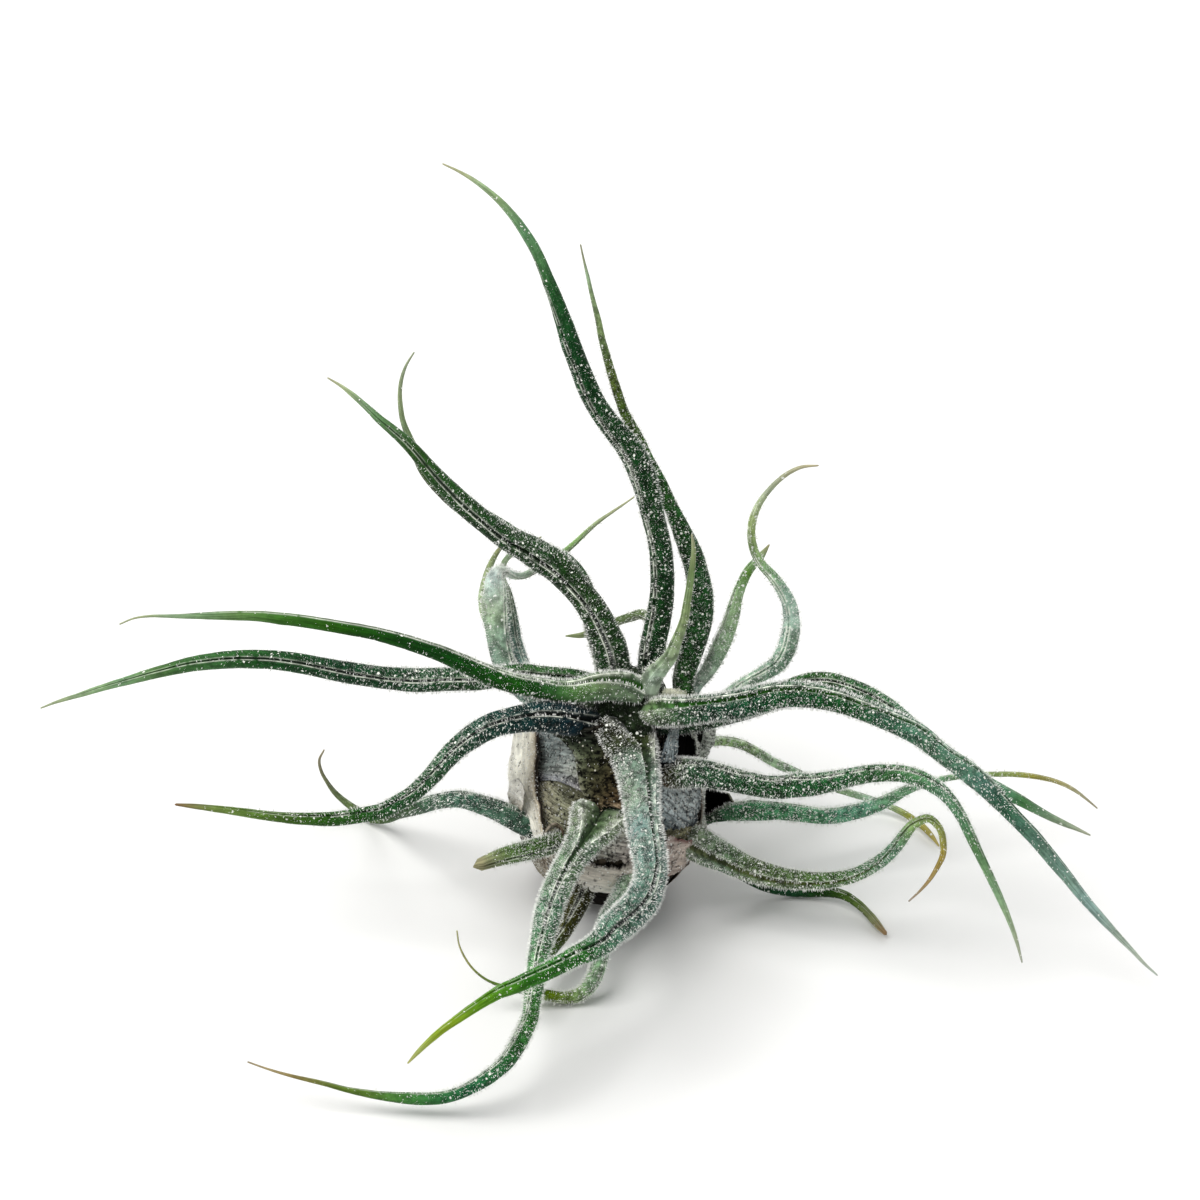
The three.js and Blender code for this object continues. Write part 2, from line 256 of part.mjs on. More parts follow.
// section angles from the channel, and how far out each one stands
const RING = [0, GROOVE_HALF, 74, 127, 180, 233, 286, 360 - GROOVE_HALF];
function sweep(leaf, grow, plain) {
  const { pts, tangents, channel, radii } = frames(leaf);
  const n = pts.length, sides = plain ? 8 : RING.length;
  const radius = radii.map((r) => r + grow);
  const ring = (i) => {
    const side = new THREE.Vector3().crossVectors(tangents[i], channel[i]);
    const end = Math.min(1, Math.min(i / 1.5, (n - 1 - i) / 3));
    const out = [];
    for (let k = 0; k < sides; k++) {
      const deg = plain ? (360 * k) / sides : RING[k];
      const a = THREE.MathUtils.degToRad(deg);
      const cut = !plain && k === 0 ? 1 - GROOVE_DEPTH * end : 1;
      const widen = plain ? 1 / Math.cos(Math.PI / sides) : 1.05;
      out.push(pts[i].clone().addScaledVector(channel[i], Math.cos(a) * radius[i] * cut * widen)
        .addScaledVector(side, Math.sin(a) * radius[i] * cut * widen));
    }
    return out;
  };
  // keep the rings from crossing in a tight bend
  let rings = pts.map((_, i) => ring(i));
  for (let pass = 0; pass < 30; pass++) {
    let moved = false;
    for (let i = 0; i + 1 < n; i++) {
      const step = new THREE.Vector3().subVectors(pts[i + 1], pts[i]);
      const length = step.length();
      step.normalize();
      const least = Math.min(...rings[i].map((p, k) => new THREE.Vector3().subVectors(rings[i + 1][k], p).dot(step)));
      if (least < 0.12 * length) {
        radius[i] *= 0.93;
        radius[i + 1] *= 0.93;
        moved = true;
      }
    }
    if (!moved) break;
    rings = pts.map((_, i) => ring(i));
  }
  // a capped cylinder whose rings are carried onto the centre line
  const tube = tidy(new THREE.CylinderGeometry(1, 1, n - 1, sides, n - 1));
  const pos = tube.attributes.position;
  for (let v = 0; v < pos.count; v++) {
    const x = pos.getX(v), z = pos.getZ(v);
    const i = Math.round(pos.getY(v) + (n - 1) / 2);
    if (Math.hypot(x, z) < 0.5) pos.setXYZ(v, pts[i].x, pts[i].y, pts[i].z);
    else {
      const k = ((Math.round((Math.atan2(x, z) / (2 * Math.PI)) * sides) % sides) + sides) % sides;
      const p = rings[i][k];
      pos.setXYZ(v, p.x, p.y, p.z);
    }
  }
  return toSolid(tube);
}
// outline of the bulb: radius at a height, pushed out by `out`
function bulbRadius(z, out) {
  const u = Math.max(-1, Math.min(1, (z - BULB.centreZ) / (BULB.halfHeight + out)));
  const round = (BULB.radius + out) * Math.sqrt(Math.max(0, 1 - u * u));
  const k = Math.max(0, Math.min(1, (z - 21) / (BULB.neckZ - 21)));
  const neck = BULB.neckRadius + out;
  return z > 21 ? Math.max(round * (1 - 0.12 * k), neck * 0.95) : round;
}
function bulbCore() {
  const profile = [new THREE.Vector2(0, BULB.base)];
  for (let i = 0; i <= BULB.rings; i++) {
    const z = BULB.base + (BULB.neckZ - BULB.base) * Math.sin((i / BULB.rings) * Math.PI / 2 * 0.999) ** 1.15;
    profile.push(new THREE.Vector2(bulbRadius(z, 0), z));
  }
  profile.push(new THREE.Vector2(BULB.neckRadius * 0.6, BULB.neckZ + 1.3));
  profile.push(new THREE.Vector2(0, BULB.neckZ + 1.7));
  const g = new THREE.LatheGeometry(profile, BULB.sides);
  g.rotateX(Math.PI / 2);
  return g;
}
// a dry sheath: a thin plate bent round the bulb
function sheath(s) {
  const inner = SHEATH.gap + s.layer * SHEATH.layerStep;
  const g = new THREE.BoxGeometry(1, 1, 1, 8, 8, 1);
  const pos = g.attributes.position;
  for (let v = 0; v < pos.count; v++) {
    const u = pos.getX(v) * 2, t = pos.getY(v) + 0.5, w = pos.getZ(v) + 0.5;
    const edge = 1 - 0.55 * Math.max(0, Math.abs(u) - 0.6) / 0.4 * w * 0.6;
    const half = s.half[0] + (s.half[1] - s.half[0]) * t * t;
    const az = THREE.MathUtils.degToRad(s.az + s.lean * t + u * half);
    const z = s.z[0] + (s.z[1] - s.z[0]) * (t - (t > 0.5 ? 0.16 * u * u * (t - 0.5) : 0));
    const stand = inner + s.lip * Math.max(0, (t - 0.55) / 0.45) ** 2 + w * SHEATH.thickness * edge;
    const r = bulbRadius(z, 0) + stand;
    pos.setXYZ(v, r * Math.cos(az), r * Math.sin(az), z);
  }
  return g;
}

// ---- build ----
const plant = new THREE.Group();
plant.name = 'air_plant';
function put(name, solid, colour, roughness) {
  const g = toGeometry(solid);
  g.computeVertexNormals();
  const mesh = new THREE.Mesh(g, new THREE.MeshStandardMaterial({ color: colour, roughness }));
  mesh.name = name;
  plant.add(mesh);
}

const bulb = toSolid(bulbCore());
const bulbKeepOut = (() => {
  const g = bulbCore();
  const pos = g.attributes.position;
  for (let v = 0; v < pos.count; v++) {
    const x = pos.getX(v), y = pos.getY(v), z = pos.getZ(v), r = Math.hypot(x, y);
    const k = r > 1e-6 ? (r + LEAF_GAP) / r : 1;
    pos.setXYZ(v, x * k, y * k, z > BULB.neckZ ? z + LEAF_GAP : z < 0.01 ? -LEAF_GAP : z);
  }
  return toSolid(g);
})();
put('bulb_core', bulb, COLOURS.core, 0.95);

const tubes = {}, fat = {};
for (const [name, leaf] of Object.entries(LEAVES)) {
  tubes[name] = sweep(leaf, 0, false);
  fat[name] = sweep(leaf, LEAF_GAP + 0.05, true);
}
const done = [];
for (const name of Object.keys(LEAVES)) {
  let solid = tubes[name].subtract(bulbKeepOut);
  for (const other of done) {
    const bb = fat[other].boundingBox(), cc = solid.boundingBox();
    let apart = false;
    for (let j = 0; j < 3; j++) if (bb.min[j] > cc.max[j] || bb.max[j] < cc.min[j]) apart = true;
    if (!apart) solid = solid.subtract(fat[other]);
  }
  solid = largest(solid);
  done.push(name);
  const pale = /pale|young|s_curved/.test(name), olive = /olive|trimmed/.test(name);
  put(name, solid, pale ? COLOURS.pale : olive ? COLOURS.olive : COLOURS.leaf, 0.8);
}
for (const [name, s] of Object.entries(SHEATHS)) {
  let solid = toSolid(sheath(s));
  for (const other of done) solid = solid.subtract(fat[other]);
  put(name, largest(solid), COLOURS.sheath, 0.95);
}

export default plant;
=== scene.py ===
"""A bulbous air plant with long curling leaves under silvery scale hairs, on a pale floor. Metres, +Z up."""
import math

import bpy
import numpy as np
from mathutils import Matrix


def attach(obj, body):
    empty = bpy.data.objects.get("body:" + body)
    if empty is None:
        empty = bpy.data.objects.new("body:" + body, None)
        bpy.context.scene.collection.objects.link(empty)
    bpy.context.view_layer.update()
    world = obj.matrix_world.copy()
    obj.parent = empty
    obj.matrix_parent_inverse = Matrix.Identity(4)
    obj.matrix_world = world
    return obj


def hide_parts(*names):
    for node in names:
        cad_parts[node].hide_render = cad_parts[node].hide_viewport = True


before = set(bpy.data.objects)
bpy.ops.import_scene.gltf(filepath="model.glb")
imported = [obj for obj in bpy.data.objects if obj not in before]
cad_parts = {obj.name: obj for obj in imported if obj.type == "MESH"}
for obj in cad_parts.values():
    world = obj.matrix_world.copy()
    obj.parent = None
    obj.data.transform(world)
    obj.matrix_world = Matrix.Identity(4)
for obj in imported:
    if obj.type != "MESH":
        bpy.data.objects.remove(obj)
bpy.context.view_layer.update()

MM = 0.001
VIEW = np.array([0.0, -0.8192, 0.5736])   # the side the channel turns are measured from

# Each leaf: turn of its channel (part of length, degrees), then its centre line and radius in mm, base to tip.
LEAVES = {
    "leaf_front_hanging": ([(0, -48), (0.12, -42), (0.3, -30), (0.4, -14), (0.5, -6), (0.65, 35), (1, 45)], [
        (1.58, -3.00, 31.28, 2.66), (2.00, -5.01, 30.21, 3.15), (2.62, -7.07, 29.35, 3.10), (3.05, -9.21, 28.57, 2.93), (3.39, -11.39, 27.86, 2.81),
        (3.56, -13.60, 27.18, 2.72), (3.70, -15.82, 26.52, 2.64), (3.89, -18.04, 25.90, 2.57), (4.15, -20.26, 25.30, 2.54), (4.46, -22.48, 24.72, 2.51),
        (4.78, -24.72, 24.19, 2.43), (4.89, -26.98, 23.70, 2.34), (4.69, -29.23, 23.20, 2.31), (4.13, -31.42, 22.69, 2.37), (3.08, -33.44, 22.28, 2.40),
        (1.69, -35.26, 21.93, 2.36), (0.15, -36.96, 21.62, 2.18), (-1.29, -38.61, 20.86, 1.90), (-3.05, -40.08, 20.66, 1.62), (-4.94, -41.42, 20.68, 1.42),
        (-6.83, -42.73, 20.41, 1.31), (-8.78, -43.96, 20.17, 1.24), (-10.79, -45.07, 19.90, 1.19), (-12.86, -46.05, 19.51, 1.10), (-14.98, -46.89, 19.10, 0.94),
        (-16.96, -47.63, 18.17, 0.81), (-18.89, -48.29, 17.08, 0.73), (-20.77, -48.86, 15.85, 0.63), (-22.62, -49.32, 14.53, 0.53), (-24.28, -49.65, 12.95, 0.44),
        (-25.81, -49.87, 11.23, 0.32), (-27.20, -50.00, 9.38, 0.12),
    ]),
    "leaf_right_main": ([(0, -30), (0.1, -32), (0.3, -30), (0.45, -38), (0.65, -60), (1, -80)], [
        (3.81, -3.00, 32.85, 1.26), (5.89, -3.74, 33.53, 1.91), (8.03, -4.36, 34.13, 2.03), (10.24, -4.85, 34.59, 2.03), (12.42, -5.26, 35.24, 2.02),
        (14.63, -5.65, 35.79, 2.05), (16.82, -6.01, 36.43, 2.11), (18.97, -6.38, 37.18, 2.12), (21.03, -6.77, 38.17, 2.06), (23.14, -7.18, 39.00, 1.97),
        (25.35, -7.63, 39.47, 1.90), (27.60, -8.12, 39.61, 1.84), (29.86, -8.61, 39.48, 1.77), (32.08, -9.10, 39.11, 1.68), (34.25, -9.58, 38.47, 1.60),
        (36.40, -10.07, 37.79, 1.57), (38.55, -10.58, 37.10, 1.61), (40.67, -11.08, 36.34, 1.66), (42.67, -11.56, 35.30, 1.62), (44.46, -12.02, 33.90, 1.49),
        (46.21, -12.45, 32.47, 1.43), (48.11, -12.86, 31.22, 1.51), (49.90, -13.25, 29.82, 1.56), (51.60, -13.63, 28.29, 1.49), (53.18, -14.02, 26.65, 1.35),
        (54.73, -14.42, 24.99, 1.21), (56.29, -14.84, 23.34, 1.11), (57.87, -15.27, 21.71, 1.06), (59.39, -15.72, 20.03, 1.03), (60.84, -16.21, 18.29, 0.99),
        (62.29, -16.77, 16.58, 0.94), (63.74, -17.43, 14.91, 0.87), (65.16, -18.19, 13.26, 0.80), (66.63, -19.04, 11.69, 0.71), (68.18, -19.96, 10.25, 0.63),
        (69.75, -20.94, 8.86, 0.53), (71.34, -21.97, 7.54, 0.43), (72.93, -23.01, 6.23, 0.32), (74.51, -24.04, 4.89, 0.22), (76.22, -25.00, 3.67, 0.12),
    ]),
    "leaf_left_upper": ([(0, 35), (0.1, 40), (0.3, 60), (1, 65)], [
        (4.22, -2.20, 35.90, 1.40), (2.23, -2.46, 36.92, 1.75), (0.01, -2.68, 37.33, 1.84), (-2.24, -2.83, 37.23, 1.79), (-4.45, -2.93, 36.70, 1.64),
        (-6.71, -2.97, 36.60, 1.56), (-8.95, -2.94, 36.95, 1.54), (-11.18, -2.86, 37.36, 1.50), (-13.40, -2.76, 37.82, 1.48), (-15.56, -2.64, 38.52, 1.49),
        (-17.63, -2.51, 39.44, 1.43), (-19.65, -2.35, 40.47, 1.34), (-21.69, -2.17, 41.45, 1.26), (-23.73, -1.97, 42.40, 1.20), (-25.86, -1.78, 43.17, 1.15),
        (-28.00, -1.59, 43.92, 1.11), (-30.17, -1.39, 44.55, 1.06), (-32.36, -1.20, 45.12, 1.02), (-34.58, -1.00, 45.53, 0.99), (-36.82, -0.80, 45.87, 0.97),
        (-39.06, -0.61, 46.20, 0.95), (-41.30, -0.40, 46.49, 0.93), (-43.55, -0.20, 46.74, 0.91), (-45.80, -0.00, 46.89, 0.88), (-48.05, 0.20, 47.07, 0.82),
        (-50.31, 0.41, 47.06, 0.75), (-52.57, 0.60, 46.97, 0.69), (-54.83, 0.79, 46.83, 0.59), (-57.10, 0.92, 46.71, 0.47), (-59.36, 0.98, 46.61, 0.36),
        (-61.63, 1.00, 46.61, 0.27), (-63.90, 1.00, 46.61, 0.20), (-66.14, 1.00, 46.24, 0.14), (-68.18, 1.00, 45.27, 0.12),
    ]),
    "leaf_young_centre": ([(0, -35), (0.2, -40), (1, -50)], [
        (4.95, -1.00, 33.63, 1.54), (5.27, -1.28, 35.88, 1.60), (5.88, -1.55, 38.07, 1.49), (7.08, -1.79, 40.00, 1.23), (8.28, -1.98, 41.94, 1.05),
        (8.96, -2.10, 44.12, 0.91), (9.61, -2.19, 46.32, 0.78), (10.14, -2.25, 48.55, 0.68), (10.43, -2.28, 50.83, 0.61), (10.69, -2.28, 53.10, 0.55),
        (10.94, -2.26, 55.38, 0.51), (11.16, -2.20, 57.67, 0.45), (11.26, -2.11, 59.96, 0.32), (11.01, -2.00, 62.23, 0.12),
    ]),
    "leaf_left_arched": ([(0, 25), (0.2, 12), (0.4, 5), (0.6, 30), (1, 50)], [
        (0.19, -2.00, 28.96, 1.69), (-1.36, -2.77, 30.51, 2.00), (-3.23, -3.62, 31.58, 2.18), (-5.18, -4.41, 32.56, 2.31), (-7.19, -5.04, 33.53, 2.36),
        (-9.42, -5.41, 34.05, 2.28), (-11.72, -5.74, 34.07, 2.12), (-14.00, -6.09, 33.82, 1.97), (-16.25, -6.46, 33.37, 1.88), (-18.31, -6.82, 32.38, 1.83),
        (-20.21, -7.20, 31.10, 1.74), (-21.93, -7.55, 29.57, 1.61), (-23.42, -7.88, 27.83, 1.48), (-24.85, -8.22, 26.03, 1.38), (-26.39, -8.57, 24.33, 1.33),
        (-28.11, -8.89, 22.80, 1.27), (-30.08, -9.12, 21.58, 1.22), (-32.08, -9.25, 20.41, 1.18), (-34.31, -9.26, 19.79, 1.16), (-36.56, -9.16, 19.25, 1.11),
        (-38.81, -8.93, 18.72, 1.06), (-41.09, -8.61, 18.43, 1.00), (-43.37, -8.23, 18.20, 0.91), (-45.65, -7.81, 18.04, 0.81), (-47.93, -7.36, 17.98, 0.75),
        (-50.20, -6.89, 17.99, 0.69), (-52.48, -6.41, 18.03, 0.61), (-54.75, -5.91, 18.01, 0.54), (-57.01, -5.40, 17.96, 0.44), (-59.28, -4.89, 17.88, 0.34),
        (-61.55, -4.40, 17.76, 0.18),
    ]),
    "leaf_top_tall": ([(0, -18), (0.12, -30), (0.3, -42), (0.5, -32), (0.62, -22), (0.75, -70), (1, -80)], [
        (5.56, 3.40, 31.44, 1.55), (5.43, 4.26, 33.57, 1.72), (5.54, 5.12, 35.70, 1.85), (5.87, 6.03, 37.78, 1.93), (6.40, 7.02, 39.78, 1.91),
        (6.85, 8.03, 41.80, 1.86), (7.13, 9.03, 43.84, 1.82), (7.27, 10.01, 45.92, 1.79), (7.20, 11.00, 47.99, 1.77), (7.03, 12.02, 50.04, 1.75),
        (6.62, 13.05, 52.05, 1.73), (6.03, 14.04, 54.04, 1.73), (5.52, 15.00, 56.06, 1.78), (4.99, 15.94, 58.09, 1.88), (4.28, 16.84, 60.08, 1.97),
        (3.33, 17.71, 61.98, 1.98), (2.13, 18.54, 63.75, 1.88), (0.66, 19.35, 65.31, 1.74), (-0.76, 20.16, 66.93, 1.63), (-2.02, 20.99, 68.66, 1.60),
        (-3.06, 21.84, 70.52, 1.59), (-3.93, 22.69, 72.47, 1.56), (-4.74, 23.56, 74.43, 1.51), (-5.56, 24.46, 76.38, 1.43), (-6.24, 25.38, 78.38, 1.33),
        (-6.98, 26.35, 80.32, 1.19), (-7.73, 27.34, 82.26, 1.06), (-8.58, 28.37, 84.13, 0.94), (-9.44, 29.39, 86.00, 0.86), (-10.36, 30.41, 87.83, 0.82),
        (-11.52, 31.43, 89.53, 0.77), (-12.79, 32.48, 91.13, 0.68), (-14.22, 33.54, 92.59, 0.58), (-15.81, 34.57, 93.88, 0.48), (-17.54, 35.59, 94.98, 0.39),
        (-19.39, 36.62, 95.89, 0.30), (-21.33, 37.63, 96.58, 0.20), (-23.35, 38.60, 97.09, 0.12),
    ]),
    "leaf_upper_left": ([(0, 0), (0.15, 0), (0.3, -28), (0.45, -12), (0.7, 0), (1, -10)], [
        (0.76, 2.40, 31.83, 1.97), (0.52, 3.09, 34.05, 2.34), (0.31, 3.86, 36.24, 2.60), (-0.11, 4.74, 38.36, 2.65), (-0.93, 5.76, 40.29, 2.48),
        (-1.85, 6.90, 42.11, 2.25), (-3.07, 8.09, 43.70, 2.09), (-4.51, 9.28, 45.11, 2.01), (-6.03, 10.40, 46.48, 2.10), (-7.67, 11.44, 47.78, 2.24),
        (-9.61, 12.41, 48.63, 2.27), (-11.59, 13.35, 49.45, 2.16), (-13.67, 14.22, 50.04, 1.90), (-15.66, 15.07, 50.90, 1.71), (-17.48, 15.88, 52.11, 1.64),
        (-19.30, 16.65, 53.36, 1.62), (-21.06, 17.43, 54.69, 1.57), (-22.70, 18.23, 56.14, 1.48), (-24.33, 19.04, 57.61, 1.36), (-25.85, 19.86, 59.18, 1.18),
        (-27.34, 20.72, 60.76, 1.03), (-28.94, 21.61, 62.21, 0.92), (-30.70, 22.49, 63.48, 0.78), (-32.49, 23.34, 64.70, 0.62), (-34.19, 24.21, 66.05, 0.50),
        (-35.93, 25.07, 67.35, 0.39), (-37.77, 25.92, 68.51, 0.25), (-39.75, 26.74, 69.43, 0.12),
    ]),
    "leaf_right_behind": ([(0, -60), (0.2, -30), (0.35, -10), (0.5, -16), (0.7, -50), (1, -70)], [
        (6.67, -0.92, 28.85, 1.27), (8.86, -0.25, 28.62, 1.41), (11.08, 0.37, 28.62, 1.48), (13.31, 0.93, 28.77, 1.52), (15.54, 1.50, 28.99, 1.54),
        (17.75, 2.08, 29.27, 1.55), (19.95, 2.71, 29.59, 1.56), (22.10, 3.38, 30.05, 1.57), (24.13, 4.06, 30.90, 1.56), (26.19, 4.71, 31.70, 1.54),
        (28.40, 5.21, 32.13, 1.54), (30.68, 5.45, 32.02, 1.55), (32.90, 5.35, 31.44, 1.56), (35.06, 4.96, 30.71, 1.58), (37.12, 4.33, 29.91, 1.59),
        (39.07, 3.58, 28.93, 1.56), (40.89, 2.75, 27.79, 1.50), (42.63, 1.88, 26.54, 1.42), (44.36, 1.00, 25.30, 1.35), (46.15, 0.13, 24.14, 1.28),
        (47.99, -0.74, 23.05, 1.20), (49.90, -1.62, 22.10, 1.12), (51.85, -2.50, 21.25, 1.06), (53.83, -3.34, 20.40, 1.01), (55.85, -4.11, 19.61, 0.93),
        (57.90, -4.80, 18.82, 0.82), (59.90, -5.35, 17.81, 0.70), (61.90, -5.71, 16.73, 0.58), (63.95, -5.91, 15.69, 0.46), (66.00, -5.98, 14.64, 0.30),
        (68.02, -6.00, 13.53, 0.12),
    ]),
    "leaf_right_middle": ([(0, -55), (0.2, -45), (0.5, -32), (0.7, -45), (1, -50)], [
        (7.22, -5.20, 23.63, 1.97), (8.95, -6.27, 24.66, 2.23), (10.78, -7.28, 25.58, 2.19), (12.76, -8.21, 26.22, 2.08), (14.88, -9.05, 26.39, 1.98),
        (17.02, -9.85, 26.36, 1.88), (19.17, -10.62, 26.32, 1.79), (21.31, -11.40, 26.37, 1.72), (23.41, -12.16, 26.81, 1.73), (25.39, -12.89, 27.67, 1.75),
        (27.44, -13.64, 28.36, 1.69), (29.40, -14.37, 29.26, 1.58), (31.31, -15.07, 30.31, 1.48), (33.23, -15.75, 31.35, 1.39), (35.18, -16.40, 32.34, 1.34),
        (37.25, -17.06, 33.02, 1.30), (39.39, -17.71, 33.47, 1.27), (41.58, -18.34, 33.34, 1.24), (43.67, -18.90, 32.62, 1.16), (45.51, -19.38, 31.39, 1.03),
        (46.95, -19.78, 29.66, 0.92), (48.12, -20.10, 27.73, 0.85), (49.07, -20.38, 25.67, 0.80), (49.99, -20.64, 23.60, 0.74), (50.94, -20.89, 21.53, 0.68),
        (51.87, -21.14, 19.46, 0.62), (52.81, -21.41, 17.40, 0.58), (53.74, -21.70, 15.33, 0.54), (54.63, -22.01, 13.25, 0.47), (55.46, -22.34, 11.15, 0.40),
        (56.23, -22.68, 9.02, 0.32), (56.88, -23.04, 6.86, 0.22), (57.45, -23.40, 4.68, 0.12),
    ]),
    "leaf_front_lowest": ([(0, 0), (0.12, 0), (0.35, 5), (0.5, 45), (0.7, 70), (1, 70)], [
        (-1.22, -10.30, 22.60, 2.10), (-2.22, -12.24, 21.86, 2.55), (-3.15, -14.23, 21.14, 2.43), (-4.22, -16.20, 20.59, 2.21), (-5.25, -18.19, 20.05, 2.12),
        (-6.17, -20.24, 19.52, 2.14), (-6.95, -22.34, 18.97, 2.22), (-7.59, -24.47, 18.38, 2.25), (-8.16, -26.63, 17.79, 2.22), (-8.70, -28.81, 17.25, 2.11),
        (-9.13, -31.00, 16.70, 1.95), (-9.51, -33.21, 16.12, 1.76), (-9.90, -35.40, 15.51, 1.61), (-10.11, -37.58, 14.80, 1.49), (-10.35, -39.71, 13.96, 1.41),
        (-10.65, -41.79, 13.01, 1.31), (-10.97, -43.75, 11.84, 1.23), (-11.85, -45.46, 10.58, 1.22), (-12.93, -46.90, 9.14, 1.21), (-14.26, -48.04, 7.65, 1.15),
        (-16.01, -48.90, 6.41, 1.10), (-17.91, -49.47, 5.24, 1.02), (-19.91, -49.76, 4.14, 0.96), (-22.04, -49.86, 3.25, 0.93), (-24.31, -49.82, 2.87, 0.92),
        (-26.60, -49.64, 2.71, 0.89), (-28.90, -49.47, 2.78, 0.79), (-31.19, -49.24, 2.89, 0.64), (-33.47, -48.94, 3.13, 0.52), (-35.73, -48.60, 3.40, 0.43),
        (-37.96, -48.22, 3.88, 0.37), (-40.20, -47.82, 4.25, 0.34), (-42.45, -47.39, 4.55, 0.27), (-44.68, -46.95, 4.94, 0.20), (-46.88, -46.50, 5.46, 0.14),
        (-49.05, -46.08, 6.11, 0.12),
    ]),
    "leaf_right_s_curved": ([(0, 10), (0.3, 8), (0.5, 0), (0.8, -30), (1, -40)], [
        (12.77, 6.00, 24.58, 1.00), (14.41, 6.81, 26.02, 1.06), (16.11, 7.48, 27.46, 1.07), (17.91, 8.02, 28.84, 1.06), (19.84, 8.55, 30.02, 1.06),
        (21.88, 9.15, 30.96, 1.18), (23.79, 9.84, 32.08, 1.36), (24.97, 10.54, 33.93, 1.42), (25.55, 11.26, 36.07, 1.40), (25.72, 12.00, 38.26, 1.27),
        (25.33, 12.74, 40.43, 1.15), (24.33, 13.51, 42.37, 0.98), (22.97, 14.39, 44.04, 0.85), (21.40, 15.17, 45.58, 0.75), (20.32, 15.82, 47.51, 0.69),
        (19.89, 16.33, 49.73, 0.64), (20.03, 16.68, 52.02, 0.61), (20.69, 16.89, 54.24, 0.53), (21.78, 16.97, 56.29, 0.44), (23.13, 16.94, 58.19, 0.38),
        (24.73, 16.82, 59.86, 0.34), (26.69, 16.63, 61.09, 0.26), (28.96, 16.40, 61.49, 0.12),
    ]),
    "leaf_right_pale": ([(0, -45), (1, -50)], [
        (10.46, 5.50, 26.02, 1.00), (11.16, 6.89, 27.72, 1.07), (12.10, 8.16, 29.37, 1.08), (13.57, 9.38, 30.65, 1.13), (14.76, 10.61, 32.18, 1.26),
        (15.77, 11.88, 33.82, 1.34), (16.68, 13.15, 35.52, 1.27), (17.39, 14.40, 37.32, 1.13), (17.93, 15.56, 39.23, 0.94), (18.67, 16.63, 41.14, 0.81),
        (19.73, 17.57, 42.95, 0.73), (21.24, 18.35, 44.51, 0.60), (22.55, 19.00, 46.29, 0.12),
    ]),
    "leaf_left_long": ([(0, 20), (0.2, 5), (0.35, -6), (0.55, 5), (1, 20)], [
        (0.19, 2.50, 31.05, 1.41), (-1.43, 2.63, 32.65, 1.55), (-3.34, 2.74, 33.90, 1.58), (-5.53, 2.77, 34.52, 1.56), (-7.78, 2.63, 34.88, 1.56),
        (-10.05, 2.72, 35.09, 1.56), (-12.30, 3.06, 35.22, 1.54), (-14.53, 3.30, 34.80, 1.54), (-16.66, 3.67, 34.08, 1.56), (-18.81, 4.12, 33.43, 1.60),
        (-21.04, 4.52, 33.17, 1.69), (-23.29, 4.85, 32.96, 1.80), (-25.51, 5.25, 32.54, 1.85), (-27.74, 5.64, 32.23, 1.82), (-29.99, 6.00, 32.17, 1.76),
        (-32.25, 6.36, 32.14, 1.69), (-34.50, 6.73, 32.27, 1.66), (-36.76, 7.03, 32.44, 1.65), (-39.00, 7.13, 32.88, 1.63), (-41.24, 7.26, 33.33, 1.60),
        (-43.48, 7.42, 33.78, 1.58), (-45.74, 7.60, 34.06, 1.54), (-48.01, 7.80, 34.23, 1.48), (-50.29, 8.02, 34.18, 1.43), (-52.55, 8.26, 34.02, 1.39),
        (-54.80, 8.52, 33.69, 1.33), (-57.02, 8.80, 33.19, 1.24), (-59.21, 9.08, 32.63, 1.16), (-61.36, 9.36, 31.89, 1.06), (-63.47, 9.63, 31.05, 0.93),
        (-65.58, 9.90, 30.22, 0.82), (-67.67, 10.17, 29.33, 0.72), (-69.76, 10.43, 28.43, 0.63), (-71.85, 10.70, 27.54, 0.54), (-73.92, 10.96, 26.61, 0.47),
        (-75.97, 11.22, 25.63, 0.39), (-78.05, 11.48, 24.71, 0.30), (-80.10, 11.75, 23.73, 0.21), (-82.08, 12.00, 22.63, 0.12),
    ]),
    "leaf_back_left_pale_hook": ([(0, -8), (0.2, -6), (0.5, -4), (0.62, 20), (1, 40)], [
        (-9.30, 4.50, 28.52, 1.42), (-10.96, 5.98, 28.93, 1.63), (-12.41, 7.40, 29.90, 1.92), (-13.60, 8.68, 31.32, 2.25), (-14.52, 9.82, 33.04, 2.43),
        (-15.07, 10.83, 34.98, 2.46), (-15.45, 11.90, 36.94, 2.52), (-15.84, 13.09, 38.81, 2.66), (-16.37, 14.53, 40.47, 2.49), (-16.75, 16.29, 41.80, 1.77),
        (-15.90, 18.24, 42.31, 1.11), (-14.87, 19.75, 41.06, 0.83), (-13.85, 21.08, 39.54, 0.69), (-12.46, 22.51, 38.58, 0.62), (-10.59, 23.62, 39.00, 0.64),
        (-8.66, 23.91, 40.12, 0.58), (-6.93, 23.80, 41.56, 0.52), (-5.43, 23.51, 43.22, 0.46), (-4.07, 23.16, 44.99, 0.40), (-2.72, 22.77, 46.77, 0.34),
        (-1.27, 22.35, 48.45, 0.28), (0.27, 21.89, 50.03, 0.22), (1.81, 21.40, 51.61, 0.15), (3.32, 20.90, 53.22, 0.12),
    ]),
    "leaf_top_behind": ([(0, -75), (0.5, -80), (1, -70)], [
        (10.42, 5.00, 29.21, 1.42), (10.30, 6.16, 31.16, 1.51), (10.72, 7.34, 33.05, 1.64), (11.36, 8.54, 34.86, 1.82), (11.95, 9.76, 36.68, 2.00),
